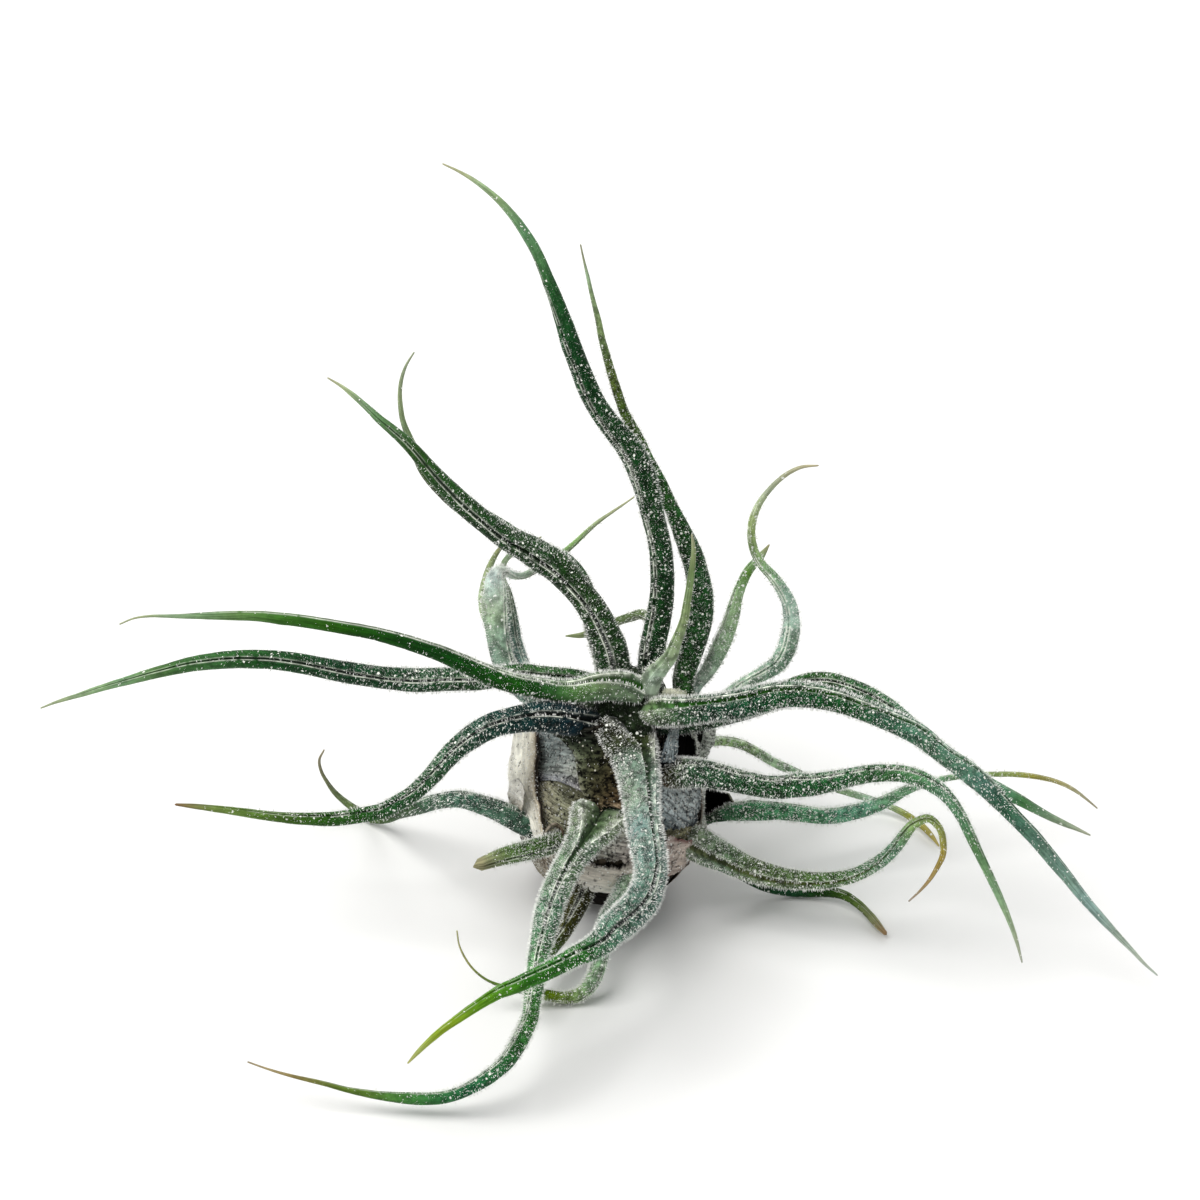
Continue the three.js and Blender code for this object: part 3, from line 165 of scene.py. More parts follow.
        (12.50, 11.02, 38.49, 2.05), (12.76, 12.29, 40.35, 2.04), (12.70, 13.58, 42.22, 1.96), (12.30, 14.85, 44.05, 1.79), (11.74, 16.11, 45.85, 1.69),
        (10.92, 17.33, 47.58, 1.58), (10.01, 18.50, 49.30, 1.38), (9.11, 19.63, 51.06, 1.21), (8.15, 20.73, 52.79, 1.11), (7.20, 21.79, 54.56, 1.06),
        (6.17, 22.80, 56.31, 1.00), (5.08, 23.79, 58.04, 0.96), (4.17, 24.74, 59.89, 0.93), (3.13, 25.64, 61.69, 0.85), (2.08, 26.53, 63.50, 0.75),
        (1.29, 27.42, 65.43, 0.70), (0.60, 28.33, 67.39, 0.67), (-0.06, 29.25, 69.36, 0.64), (-0.66, 30.18, 71.34, 0.58), (-1.26, 31.05, 73.35, 0.51),
        (-1.67, 31.86, 75.43, 0.46), (-2.21, 32.65, 77.49, 0.37), (-2.75, 33.42, 79.55, 0.30), (-3.23, 34.16, 81.64, 0.25), (-3.75, 34.89, 83.73, 0.16),
        (-4.22, 35.60, 85.84, 0.12),
    ]),
    "leaf_upper_left_snaking": ([(0, -55), (1, -60)], [
        (0.21, 6.50, 27.40, 1.28), (-0.15, 7.70, 29.37, 1.39), (-0.64, 8.94, 31.28, 1.45), (-1.26, 10.27, 33.09, 1.46), (-1.88, 11.66, 34.85, 1.47),
        (-2.48, 13.08, 36.60, 1.48), (-2.98, 14.45, 38.42, 1.49), (-3.51, 15.75, 40.27, 1.50), (-4.49, 16.95, 42.01, 1.52), (-5.93, 18.01, 43.49, 1.51),
        (-7.89, 18.91, 44.35, 1.46), (-9.97, 19.72, 45.03, 1.40), (-12.03, 20.46, 45.83, 1.40), (-14.08, 21.17, 46.68, 1.41), (-16.04, 21.86, 47.74, 1.38),
        (-18.05, 22.55, 48.68, 1.34), (-20.16, 23.25, 49.37, 1.31), (-22.14, 23.97, 50.37, 1.26), (-23.85, 24.71, 51.76, 1.19), (-25.46, 25.50, 53.25, 1.08),
        (-26.83, 26.30, 54.95, 0.93), (-27.79, 27.07, 56.93, 0.73), (-28.67, 27.77, 58.97, 0.56), (-29.45, 28.34, 61.09, 0.47), (-29.78, 28.70, 63.36, 0.41),
        (-29.82, 28.89, 65.68, 0.34), (-29.51, 28.97, 67.99, 0.28), (-28.79, 29.00, 70.20, 0.20), (-27.67, 29.00, 72.24, 0.12),
    ]),
    "leaf_left_low": ([(0, 55), (1, 60)], [
        (-9.98, -7.60, 15.87, 1.77), (-12.04, -7.61, 16.79, 1.83), (-14.03, -7.24, 17.80, 1.74), (-16.05, -6.36, 18.28, 1.58), (-17.96, -5.17, 18.21, 1.45),
        (-19.73, -3.80, 17.86, 1.37), (-21.34, -2.37, 17.16, 1.31), (-22.74, -0.99, 16.04, 1.27), (-24.01, 0.39, 14.77, 1.25), (-25.17, 1.78, 13.42, 1.25),
        (-26.26, 3.17, 11.99, 1.26), (-27.30, 4.56, 10.54, 1.26), (-28.34, 5.98, 9.11, 1.22), (-29.39, 7.39, 7.68, 1.15), (-30.43, 8.79, 6.23, 1.07),
        (-31.45, 10.14, 4.73, 1.00), (-32.51, 11.43, 3.20, 0.93), (-33.79, 12.73, 1.87, 0.84), (-35.40, 14.05, 1.00, 0.73), (-37.22, 15.32, 1.24, 0.63),
        (-39.06, 16.18, 2.20, 0.53), (-40.63, 16.52, 3.78, 0.42), (-41.72, 16.54, 5.76, 0.32), (-42.49, 16.39, 7.88, 0.26), (-42.66, 16.11, 10.11, 0.20),
        (-41.88, 15.77, 12.20, 0.12),
    ]),
    "leaf_trimmed_short": ([(0, -25), (1, -25)], [
        (-6.82, -12.20, 17.88, 1.40), (-8.14, -13.46, 17.96, 1.53), (-9.51, -14.62, 18.32, 1.51), (-10.91, -15.74, 18.71, 1.48), (-12.32, -16.84, 19.12, 1.45),
        (-13.72, -17.92, 19.56, 1.40), (-15.15, -19.02, 19.91, 1.28), (-16.60, -20.11, 20.16, 1.10), (-18.06, -21.20, 20.32, 0.90),
    ]),
    "leaf_right_hooked": ([(0, -48), (0.3, -52), (0.6, -60), (1, -60)], [
        (10.41, -6.32, 13.60, 1.84), (12.35, -7.02, 12.65, 2.24), (14.37, -7.71, 11.85, 2.20), (16.43, -8.38, 11.18, 2.04), (18.48, -9.08, 10.46, 1.95),
        (20.59, -9.80, 10.03, 1.85), (22.73, -10.56, 9.86, 1.73), (24.87, -11.32, 9.91, 1.58), (26.99, -12.08, 10.24, 1.42), (29.07, -12.84, 10.75, 1.30),
        (31.10, -13.57, 11.47, 1.23), (33.02, -14.27, 12.45, 1.16), (34.79, -14.92, 13.73, 1.11), (36.35, -15.49, 15.28, 1.10), (37.79, -16.01, 16.96, 1.06),
        (38.99, -16.48, 18.84, 0.99), (40.02, -16.91, 20.82, 0.95), (40.89, -17.32, 22.88, 0.88), (41.99, -17.73, 24.82, 0.74), (43.79, -18.17, 26.02, 0.59),
        (45.34, -18.56, 24.61, 0.52), (45.91, -18.78, 22.42, 0.49), (45.96, -18.92, 20.16, 0.45), (45.25, -19.03, 18.01, 0.36), (44.30, -19.12, 15.94, 0.27),
        (43.05, -19.21, 14.05, 0.18), (41.59, -19.30, 12.30, 0.12),
    ]),
    "leaf_right_open_sheath": ([(0, -65), (1, -60)], [
        (12.81, -0.50, 12.30, 1.43), (14.94, -0.63, 13.23, 1.68), (17.19, -0.52, 13.73, 1.65), (19.46, -0.14, 13.41, 1.60), (21.66, 0.42, 12.90, 1.53),
        (23.83, 1.06, 12.37, 1.43), (25.91, 1.74, 11.58, 1.35), (27.97, 2.42, 10.75, 1.31), (30.03, 3.09, 9.90, 1.29), (32.19, 3.78, 9.36, 1.27),
        (34.40, 4.47, 9.26, 1.24), (36.61, 5.18, 9.42, 1.18), (38.79, 5.90, 9.80, 1.09), (40.88, 6.63, 10.51, 0.94), (42.93, 7.38, 11.31, 0.80),
        (45.09, 8.11, 11.77, 0.70), (47.30, 8.79, 11.97, 0.58), (49.54, 9.42, 12.01, 0.49), (51.79, 9.98, 11.89, 0.45), (54.06, 10.47, 11.72, 0.43),
        (56.35, 10.84, 11.53, 0.42), (58.66, 11.06, 11.33, 0.42), (60.96, 11.14, 11.02, 0.41), (63.24, 11.09, 10.57, 0.37), (65.46, 10.91, 9.91, 0.33),
        (67.52, 10.63, 8.87, 0.28), (69.35, 10.31, 7.48, 0.19), (71.08, 10.00, 5.95, 0.12),
    ]),
    "leaf_right_low": ([(0, -40), (1, -30)], [
        (10.79, -4.00, 9.24, 1.14), (12.81, -4.05, 8.11, 1.08), (14.93, -4.05, 7.18, 0.98), (16.96, -3.96, 6.07, 0.96), (18.82, -3.81, 4.70, 0.97),
        (20.68, -3.62, 3.33, 0.98), (22.65, -3.43, 2.12, 0.96), (24.81, -3.26, 1.32, 0.93), (27.10, -3.23, 0.99, 0.91), (29.40, -3.43, 1.13, 0.89),
        (31.59, -4.03, 1.56, 0.84), (33.57, -5.17, 1.87, 0.74), (35.36, -6.61, 1.58, 0.66), (36.78, -8.40, 1.24, 0.62), (37.95, -10.38, 0.97, 0.58),
        (39.08, -12.40, 0.84, 0.33),
    ]),
    "leaf_right_thin": ([(0, -55), (1, -60)], [
        (11.43, 7.00, 19.18, 0.86), (12.90, 8.70, 18.61, 0.81), (14.45, 10.26, 17.89, 0.76), (16.10, 11.62, 16.99, 0.76), (17.83, 12.72, 15.91, 0.78),
        (19.56, 13.57, 14.62, 0.79), (21.20, 14.20, 13.11, 0.78), (22.83, 14.70, 11.54, 0.77), (24.53, 15.15, 10.03, 0.76), (26.40, 15.58, 8.73, 0.73),
        (28.24, 15.97, 7.38, 0.70), (30.10, 16.31, 6.03, 0.67), (32.11, 16.62, 4.93, 0.64), (34.19, 16.85, 3.92, 0.61), (36.32, 16.95, 3.02, 0.58),
        (38.52, 16.79, 2.31, 0.53), (40.69, 16.22, 1.73, 0.49), (42.71, 15.15, 1.43, 0.50), (44.45, 13.63, 1.24, 0.50), (45.91, 11.84, 1.14, 0.48),
        (47.11, 9.87, 0.95, 0.36), (48.11, 7.80, 0.63, 0.12),
    ]),
    "leaf_front_hook": ([(0, -35), (1, -50)], [
        (3.01, -11.50, 11.95, 1.41), (2.26, -13.39, 10.88, 1.50), (1.57, -15.35, 9.89, 1.46), (0.57, -17.33, 9.30, 1.44), (-0.40, -19.29, 8.60, 1.44),
        (-0.87, -21.27, 7.54, 1.38), (-1.29, -23.15, 6.29, 1.27), (-1.80, -24.70, 4.67, 1.20), (-2.69, -25.86, 2.91, 1.15), (-4.27, -26.48, 1.39, 1.03),
        (-6.48, -26.81, 1.06, 0.91), (-8.68, -27.04, 1.67, 0.83), (-10.86, -27.21, 2.42, 0.68), (-13.05, -27.40, 3.07, 0.50), (-15.23, -27.50, 3.81, 0.31),
        (-17.26, -27.44, 4.87, 0.21), (-18.92, -27.30, 6.45, 0.18), (-20.14, -27.05, 8.38, 0.16), (-20.96, -26.73, 10.50, 0.12), (-21.24, -26.40, 12.75, 0.12),
    ]),
    "leaf_front_olive": ([(0, 0), (1, 10)], [
        (-3.20, -11.50, 9.78, 1.55), (-4.22, -13.33, 8.80, 1.81), (-5.13, -15.23, 7.84, 1.80), (-6.07, -17.18, 7.03, 1.65), (-7.08, -19.17, 6.39, 1.46),
        (-8.16, -21.17, 6.01, 1.30), (-9.01, -23.31, 5.72, 1.14), (-9.62, -25.51, 5.36, 0.97), (-10.07, -27.74, 4.96, 0.78), (-10.50, -29.98, 4.54, 0.54),
        (-11.03, -32.20, 4.16, 0.21),
    ]),
    "leaf_back_left_thin": ([(0, 40), (1, 50)], [
        (-10.04, 6.00, 27.77, 0.78), (-11.44, 7.85, 28.18, 0.83), (-12.68, 9.72, 28.88, 0.86), (-13.75, 11.51, 29.98, 0.89), (-14.87, 13.21, 31.17, 0.91),
        (-15.91, 14.81, 32.55, 0.84), (-17.15, 16.38, 33.79, 0.69), (-18.20, 18.05, 35.07, 0.58), (-18.49, 19.75, 36.63, 0.56), (-18.05, 21.37, 38.29, 0.56),
        (-17.34, 22.90, 39.93, 0.50), (-16.27, 24.34, 41.44, 0.38), (-14.81, 25.74, 42.65, 0.29), (-13.04, 27.10, 43.39, 0.12),
    ]),
    "leaf_back_left_narrow": ([(0, 10), (1, 30)], [
        (-7.76, 6.60, 28.39, 1.00), (-9.29, 8.24, 28.83, 1.03), (-10.70, 9.89, 29.51, 1.03), (-11.79, 11.63, 30.51, 1.05), (-12.49, 13.40, 31.76, 1.07),
        (-13.06, 15.18, 33.08, 0.97), (-13.60, 16.90, 34.47, 0.84), (-14.10, 18.54, 35.98, 0.70), (-14.73, 20.14, 37.47, 0.58), (-15.56, 21.73, 38.89, 0.52),
        (-15.25, 23.28, 40.44, 0.47), (-13.73, 24.75, 41.25, 0.40), (-11.92, 26.09, 41.66, 0.27), (-10.02, 27.30, 42.03, 0.12),
    ]),
    "leaf_back_curl": ([(0, -40), (1, -60)], [
        (4.21, 7.50, 26.31, 0.79), (5.30, 9.45, 26.96, 0.86), (6.22, 11.46, 27.66, 0.93), (6.91, 13.56, 28.37, 0.99), (7.14, 15.75, 29.08, 0.99),
        (7.11, 17.98, 29.74, 0.99), (6.87, 20.19, 30.38, 0.98), (6.02, 22.27, 30.93, 0.91), (4.53, 23.98, 30.70, 0.81), (3.00, 25.14, 29.42, 0.75),
        (1.35, 26.08, 28.09, 0.66), (-0.41, 26.81, 26.76, 0.59), (-2.24, 27.35, 25.44, 0.53), (-4.23, 27.73, 24.32, 0.44), (-6.50, 28.00, 23.97, 0.12),
    ]),
    "leaf_back_low": ([(0, 0), (1, 0)], [
        (3.00, 9.50, 19.00, 1.50), (3.19, 11.59, 19.86, 1.56), (3.44, 13.77, 20.43, 1.60), (3.78, 16.01, 20.45, 1.58), (4.15, 18.21, 20.08, 1.55),
        (4.49, 20.32, 19.30, 1.53), (4.80, 22.28, 18.21, 1.52), (5.11, 24.13, 16.93, 1.49), (5.42, 25.82, 15.44, 1.46), (5.71, 27.40, 13.84, 1.42),
        (5.93, 28.92, 12.17, 1.37), (6.10, 30.36, 10.43, 1.32), (6.19, 31.79, 8.66, 1.26), (6.20, 33.20, 6.89, 1.20), (6.11, 34.63, 5.12, 1.14),
        (5.87, 36.22, 3.53, 1.07), (5.47, 37.98, 2.15, 0.99), (4.93, 39.99, 1.28, 0.91), (4.29, 42.15, 0.97, 0.83), (3.53, 44.28, 0.82, 0.75),
        (2.66, 46.38, 0.83, 0.64), (1.75, 48.45, 0.97, 0.47), (0.80, 50.50, 1.20, 0.25),
    ]),
}


def srgb(code):
    c = np.array([int(code[i:i + 2], 16) for i in (0, 2, 4)]) / 255.0
    return np.where(c <= 0.04045, c / 12.92, ((c + 0.055) / 1.055) ** 2.4)


def stops(text):
    """'0 223311, 1 aabbcc' as (places, colours)."""
    rows = [r.split() for r in text.split(",")]
    return np.array([float(r[0]) for r in rows]), np.array([srgb(r[1]) for r in rows])


def ramp(text, x):
    at, col = stops(text)
    x = np.asarray(x)
    return np.stack([np.interp(x, at, col[:, k]) for k in range(3)], -1)


def table(pairs, x):
    return np.interp(x, [p[0] for p in pairs], [p[1] for p in pairs])


def seed_of(name):
    return sum((i + 3) * ord(c) for i, c in enumerate(name)) % 99991


# ---- smooth value noise on a hashed lattice ----
PERM = np.random.default_rng(11).permutation(256)
LATTICE = np.random.default_rng(12).random(256)


def noise(p, scale, seed=0):
    q = np.asarray(p, float) * scale + seed * 7.137
    i = np.floor(q).astype(np.int64)
    f = q - i
    f = f * f * (3 - 2 * f)
    out = 0.0
    for dx in (0, 1):
        a = PERM[(i[..., 0] + dx) & 255]
        wx = f[..., 0] if dx else 1 - f[..., 0]
        for dy in (0, 1):
            b = PERM[(a + i[..., 1] + dy) & 255]
            wy = f[..., 1] if dy else 1 - f[..., 1]
            for dz in (0, 1):
                c = PERM[(b + i[..., 2] + dz) & 255]
                wz = f[..., 2] if dz else 1 - f[..., 2]
                out = out + LATTICE[c] * wx * wy * wz
    return out


def cloud(p, scale, octaves=3, seed=0):
    total, amp, out = 0.0, 1.0, 0.0
    for k in range(octaves):
        out = out + amp * noise(p, scale * 2 ** k, seed + 5 * k)
        total += amp
        amp *= 0.5
    return out / total


def step(x, a, b):
    t = np.clip((x - a) / (b - a), 0, 1)
    return t * t * (3 - 2 * t)


def unit(v):
    return v / np.maximum(np.linalg.norm(v, axis=-1, keepdims=True), 1e-12)


# ---- meshes ----
def make(name, verts, faces, material, tint=None, frost=None, grain=None, node=None, smooth=True, calm=None):
    """A mesh object from points in mm and a list of face arrays, riding on the root body."""
    me = bpy.data.meshes.new(name)
    me.vertices.add(len(verts))
    me.vertices.foreach_set("co", (np.asarray(verts) * MM).astype(np.float32).ravel())
    total = np.concatenate([np.full(len(f), f.shape[1], np.int32) for f in faces])
    index = np.concatenate([f.ravel() for f in faces]).astype(np.int32)
    me.loops.add(len(index))
    me.loops.foreach_set("vertex_index", index)
    me.polygons.add(len(total))
    me.polygons.foreach_set("loop_start", np.concatenate([[0], np.cumsum(total)[:-1]]).astype(np.int32))
    me.polygons.foreach_set("loop_total", total)
    me.update(calc_edges=True)
    me.validate()
    me.polygons.foreach_set("use_smooth", np.full(len(me.polygons), smooth))
    if tint is not None:
        a = me.attributes.new("tint", "FLOAT_COLOR", "POINT")
        strength = np.ones(len(tint)) if calm is None else calm      # how strongly the blotches show
        a.data.foreach_set("color", np.concatenate([tint, strength[:, None]], 1).astype(np.float32).ravel())
    if frost is not None:
        a = me.attributes.new("frost", "FLOAT", "POINT")
        a.data.foreach_set("value", frost.astype(np.float32))
    if grain is not None:
        a = me.attributes.new("grain", "FLOAT_VECTOR", "POINT")
        a.data.foreach_set("vector", grain.astype(np.float32).ravel())
    me.materials.append(material)
    ob = bpy.data.objects.new(name, me)
    bpy.context.scene.collection.objects.link(ob)
    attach(ob, "root")
    if node:
        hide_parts(node)
    return ob


# ---- materials ----
def new_material(name):
    m = bpy.data.materials.new(name)
    m.use_nodes = True
    nt = m.node_tree
    nt.nodes.clear()
    out = nt.nodes.new("ShaderNodeOutputMaterial")
    bsdf = nt.nodes.new("ShaderNodeBsdfPrincipled")
    nt.links.new(bsdf.outputs[0], out.inputs[0])
    return m, nt, bsdf


def math_node(nt, op, a, b=None, clamp=False):
    n = nt.nodes.new("ShaderNodeMath")
    n.operation = op
    n.use_clamp = clamp
    for k, v in enumerate((a, b)):
        if v is None:
            continue
        if isinstance(v, (int, float)):
            n.inputs[k].default_value = v
        else:
            nt.links.new(v, n.inputs[k])
    return n.outputs[0]


def spread(nt, value, a, b, c, d):
    n = nt.nodes.new("ShaderNodeMapRange")
    n.interpolation_type = "SMOOTHSTEP"
    nt.links.new(value, n.inputs[0])
    for k, v in enumerate((a, b, c, d)):
        n.inputs[k + 1].default_value = v
    return n.outputs[0]


def mix(nt, kind, fac, a, b):
    n = nt.nodes.new("ShaderNodeMix")
    n.data_type = "RGBA"
    n.blend_type = kind
    if isinstance(fac, (int, float)):
        n.inputs[0].default_value = fac
    else:
        nt.links.new(fac, n.inputs[0])
    for k, v in ((6, a), (7, b)):
        if isinstance(v, tuple):
            n.inputs[k].default_value = (*v, 1)
        else:
            nt.links.new(v, n.inputs[k])
    return n.outputs[2]


def attribute(nt, name):
    n = nt.nodes.new("ShaderNodeAttribute")
    n.attribute_name = name
    return n


def leaf_material(name, silver, fleck, vein, rough, bump, blot=(0.36, 1.55), patch=1100):
    """Leaf flesh from the tint attribute, broken up by veins and blotches, with flat silver scales by the frost attribute."""
    m, nt, bsdf = new_material(name)
    tint, frost, grain = attribute(nt, "tint"), attribute(nt, "frost"), attribute(nt, "grain")
    coord = nt.nodes.new("ShaderNodeTexCoord")
    blotch = nt.nodes.new("ShaderNodeTexNoise")
    blotch.inputs["Scale"].default_value = patch
    blotch.inputs["Detail"].default_value = 5
    nt.links.new(coord.outputs["Object"], blotch.inputs["Vector"])
    b = spread(nt, blotch.outputs[0], 0.34, 0.66, *blot)
    streak = nt.nodes.new("ShaderNodeTexNoise")
    streak.inputs["Scale"].default_value = 1.0
    streak.inputs["Detail"].default_value = 4
    nt.links.new(grain.outputs["Vector"], streak.inputs["Vector"])
    s = spread(nt, streak.outputs[0], 0.3, 0.7, -vein, vein)
    b = math_node(nt, "ADD", math_node(nt, "MULTIPLY", math_node(nt, "SUBTRACT", b, 1.0), tint.outputs["Alpha"]), 1.0)
    more = math_node(nt, "SUBTRACT", 2.4, math_node(nt, "MULTIPLY", tint.outputs["Alpha"], 1.4))
    s = math_node(nt, "ADD", math_node(nt, "MULTIPLY", s, more), 1.0)
    both = math_node(nt, "MULTIPLY", b, s)
    col = mix(nt, "MULTIPLY", 1.0, tint.outputs["Color"], both)
    # flat round scales, each cell shown or not by its own random value
    cells = nt.nodes.new("ShaderNodeTexVoronoi")
    cells.inputs["Scale"].default_value = fleck
    cells.inputs["Randomness"].default_value = 0.9
    warp = nt.nodes.new("ShaderNodeTexNoise")
    warp.inputs["Scale"].default_value = 4300
    warp.inputs["Detail"].default_value = 1
    nt.links.new(coord.outputs["Object"], warp.inputs["Vector"])
    shift = nt.nodes.new("ShaderNodeVectorMath")
    shift.operation = "SCALE"
    shift.inputs["Scale"].default_value = 0.00046
    nt.links.new(warp.outputs["Color"], shift.inputs[0])
    moved = nt.nodes.new("ShaderNodeVectorMath")
    nt.links.new(coord.outputs["Object"], moved.inputs[0])
    nt.links.new(shift.outputs[0], moved.inputs[1])
    nt.links.new(moved.outputs[0], cells.inputs["Vector"])
    pick = nt.nodes.new("ShaderNodeSeparateColor")
    nt.links.new(cells.outputs["Color"], pick.inputs[0])
    shown = math_node(nt, "LESS_THAN", pick.outputs[0], frost.outputs["Fac"])
    reach = math_node(nt, "ADD", cells.outputs["Distance"], math_node(nt, "MULTIPLY", math_node(nt, "SUBTRACT", pick.outputs[2], 0.45), 0.30))
    core = spread(nt, reach, 0.22, 0.34, 1, 0)
    level = math_node(nt, "MULTIPLY", core, shown)
    level2 = math_node(nt, "MULTIPLY", level, spread(nt, pick.outputs[1], 0.0, 1.0, 0.6, 1.0))
    # a finer dust of scale edges between
    dust = nt.nodes.new("ShaderNodeTexNoise")
    dust.inputs["Scale"].default_value = 5200
    dust.inputs["Detail"].default_value = 2
    nt.links.new(coord.outputs["Object"], dust.inputs["Vector"])
    d = math_node(nt, "MULTIPLY", spread(nt, dust.outputs[0], 0.55, 0.72, 0, 0.38), frost.outputs["Fac"])
    fac = math_node(nt, "MAXIMUM", level2, d, clamp=True)
    col = mix(nt, "MIX", fac, col, silver)
    nt.links.new(col, bsdf.inputs["Base Color"])
    bsdf.inputs["Roughness"].default_value = rough
    bsdf.inputs["Specular IOR Level"].default_value = 0.06
    bsdf.inputs["Sheen Weight"].default_value = 0.4
    bsdf.inputs["Sheen Roughness"].default_value = 0.32
    bsdf.inputs["Sheen Tint"].default_value = (0.92, 0.97, 0.93, 1)
    height = math_node(nt, "ADD", math_node(nt, "MULTIPLY", level, 0.8), math_node(nt, "MULTIPLY", streak.outputs[0], 0.6))
    height = math_node(nt, "ADD", height, math_node(nt, "MULTIPLY", dust.outputs[0], 0.5))
    bp = nt.nodes.new("ShaderNodeBump")
    bp.inputs["Strength"].default_value = bump
    bp.inputs["Distance"].default_value = 0.00012
    nt.links.new(height, bp.inputs["Height"])
    nt.links.new(bp.outputs[0], bsdf.inputs["Normal"])
    return m


def sheath_material(name, fleck, rough, bump, silver=(0.60, 0.60, 0.57), fibres=(0.38, 1.6), pit=(0.12, 1.12), fine=1900, cut=(0.37, 0.48)):
    """Dry papery sheath: fibres along the grain attribute, dark pits and a grey scurf of scales."""
    m, nt, bsdf = new_material(name)
    tint, frost, grain = attribute(nt, "tint"), attribute(nt, "frost"), attribute(nt, "grain")
    coord = nt.nodes.new("ShaderNodeTexCoord")
    fibre = nt.nodes.new("ShaderNodeTexNoise")
    fibre.inputs["Scale"].default_value = 1.0
    fibre.inputs["Detail"].default_value = 6
    fibre.inputs["Roughness"].default_value = 0.6
    nt.links.new(grain.outputs["Vector"], fibre.inputs["Vector"])
    f = spread(nt, fibre.outputs[0], 0.34, 0.66, fibres[0] * 0.9, fibres[1] * 0.9)
    col = mix(nt, "MULTIPLY", 1.0, tint.outputs["Color"], f)
    pits = nt.nodes.new("ShaderNodeTexNoise")
    pits.inputs["Scale"].default_value = fine
    pits.inputs["Detail"].default_value = 4
    pits.inputs["Roughness"].default_value = 0.65
    nt.links.new(coord.outputs["Object"], pits.inputs["Vector"])
    dark = spread(nt, pits.outputs[0], *cut, *pit)
    col = mix(nt, "MULTIPLY", 1.0, col, dark)
    cells = nt.nodes.new("ShaderNodeTexVoronoi")
    cells.inputs["Scale"].default_value = fleck
    nt.links.new(coord.outputs["Object"], cells.inputs["Vector"])
    pick = nt.nodes.new("ShaderNodeSeparateColor")
    nt.links.new(cells.outputs["Color"], pick.inputs[0])
    shown = math_node(nt, "LESS_THAN", pick.outputs[0], frost.outputs["Fac"])
    level = math_node(nt, "MULTIPLY", spread(nt, cells.outputs["Distance"], 0.2, 0.45, 0.85, 0), shown)
    col = mix(nt, "MIX", level, col, silver)
    nt.links.new(col, bsdf.inputs["Base Color"])
    bsdf.inputs["Roughness"].default_value = rough
    bsdf.inputs["Specular IOR Level"].default_value = 0.05
    height = math_node(nt, "ADD", math_node(nt, "MULTIPLY", fibre.outputs[0], 1.2), math_node(nt, "MULTIPLY", pits.outputs[0], 0.7))
    height = math_node(nt, "ADD", height, math_node(nt, "MULTIPLY", level, 0.4))
    bp = nt.nodes.new("ShaderNodeBump")
    bp.inputs["Strength"].default_value = bump
    bp.inputs["Distance"].default_value = 0.00025
    nt.links.new(height, bp.inputs["Height"])
    nt.links.new(bp.outputs[0], bsdf.inputs["Normal"])
    return m


def hair_material(name, colour, rough):
    """Silvery scale hairs, a little lighter or darker from hair to hair."""
    m, nt, bsdf = new_material(name)
    coord = nt.nodes.new("ShaderNodeTexCoord")
    n = nt.nodes.new("ShaderNodeTexNoise")
    n.inputs["Scale"].default_value = 1500
    nt.links.new(coord.outputs["Object"], n.inputs["Vector"])
    f = spread(nt, n.outputs[0], 0.3, 0.7, 0.9, 1.0)
    col = mix(nt, "MULTIPLY", 1.0, colour, f)
    nt.links.new(col, bsdf.inputs["Base Color"])
    bsdf.inputs["Roughness"].default_value = rough
    bsdf.inputs["Specular IOR Level"].default_value = 0.4
    bsdf.inputs["Sheen Weight"].default_value = 0.8
    bsdf.inputs["Sheen Roughness"].default_value = 0.5
    return m


SILVER = (0.98, 1.0, 0.92)
M_GREEN = leaf_material("leaf_green", SILVER, 2050, 0.16, 0.62, 0.8)
M_PALE = leaf_material("leaf_pale", (0.97, 1.0, 0.94), 1900, 0.14, 0.66, 0.7, (0.5, 1.42), 750)
M_OLIVE = leaf_material("leaf_olive", (0.86, 0.88, 0.78), 2300, 0.24, 0.7, 1.0)
M_SHEATH = sheath_material("dry_sheath", 2300, 0.85, 1.0)
M_PAPER = sheath_material("dry_paper", 2600, 0.85, 0.8, (0.84, 0.85, 0.82), (0.74, 1.2), (0.25, 1.12), 1500, (0.33, 0.41))
M_OLD = sheath_material("dry_olive", 2300, 0.85, 1.0, (0.62, 0.60, 0.50), (0.24, 1.75), (0.06, 1.2), 1500, (0.40, 0.52))
M_CORE = sheath_material("bulb_inner", 2300, 0.9, 1.0)
M_HAIR = hair_material("scale_hairs", (1.0, 1.0, 0.97), 0.55)

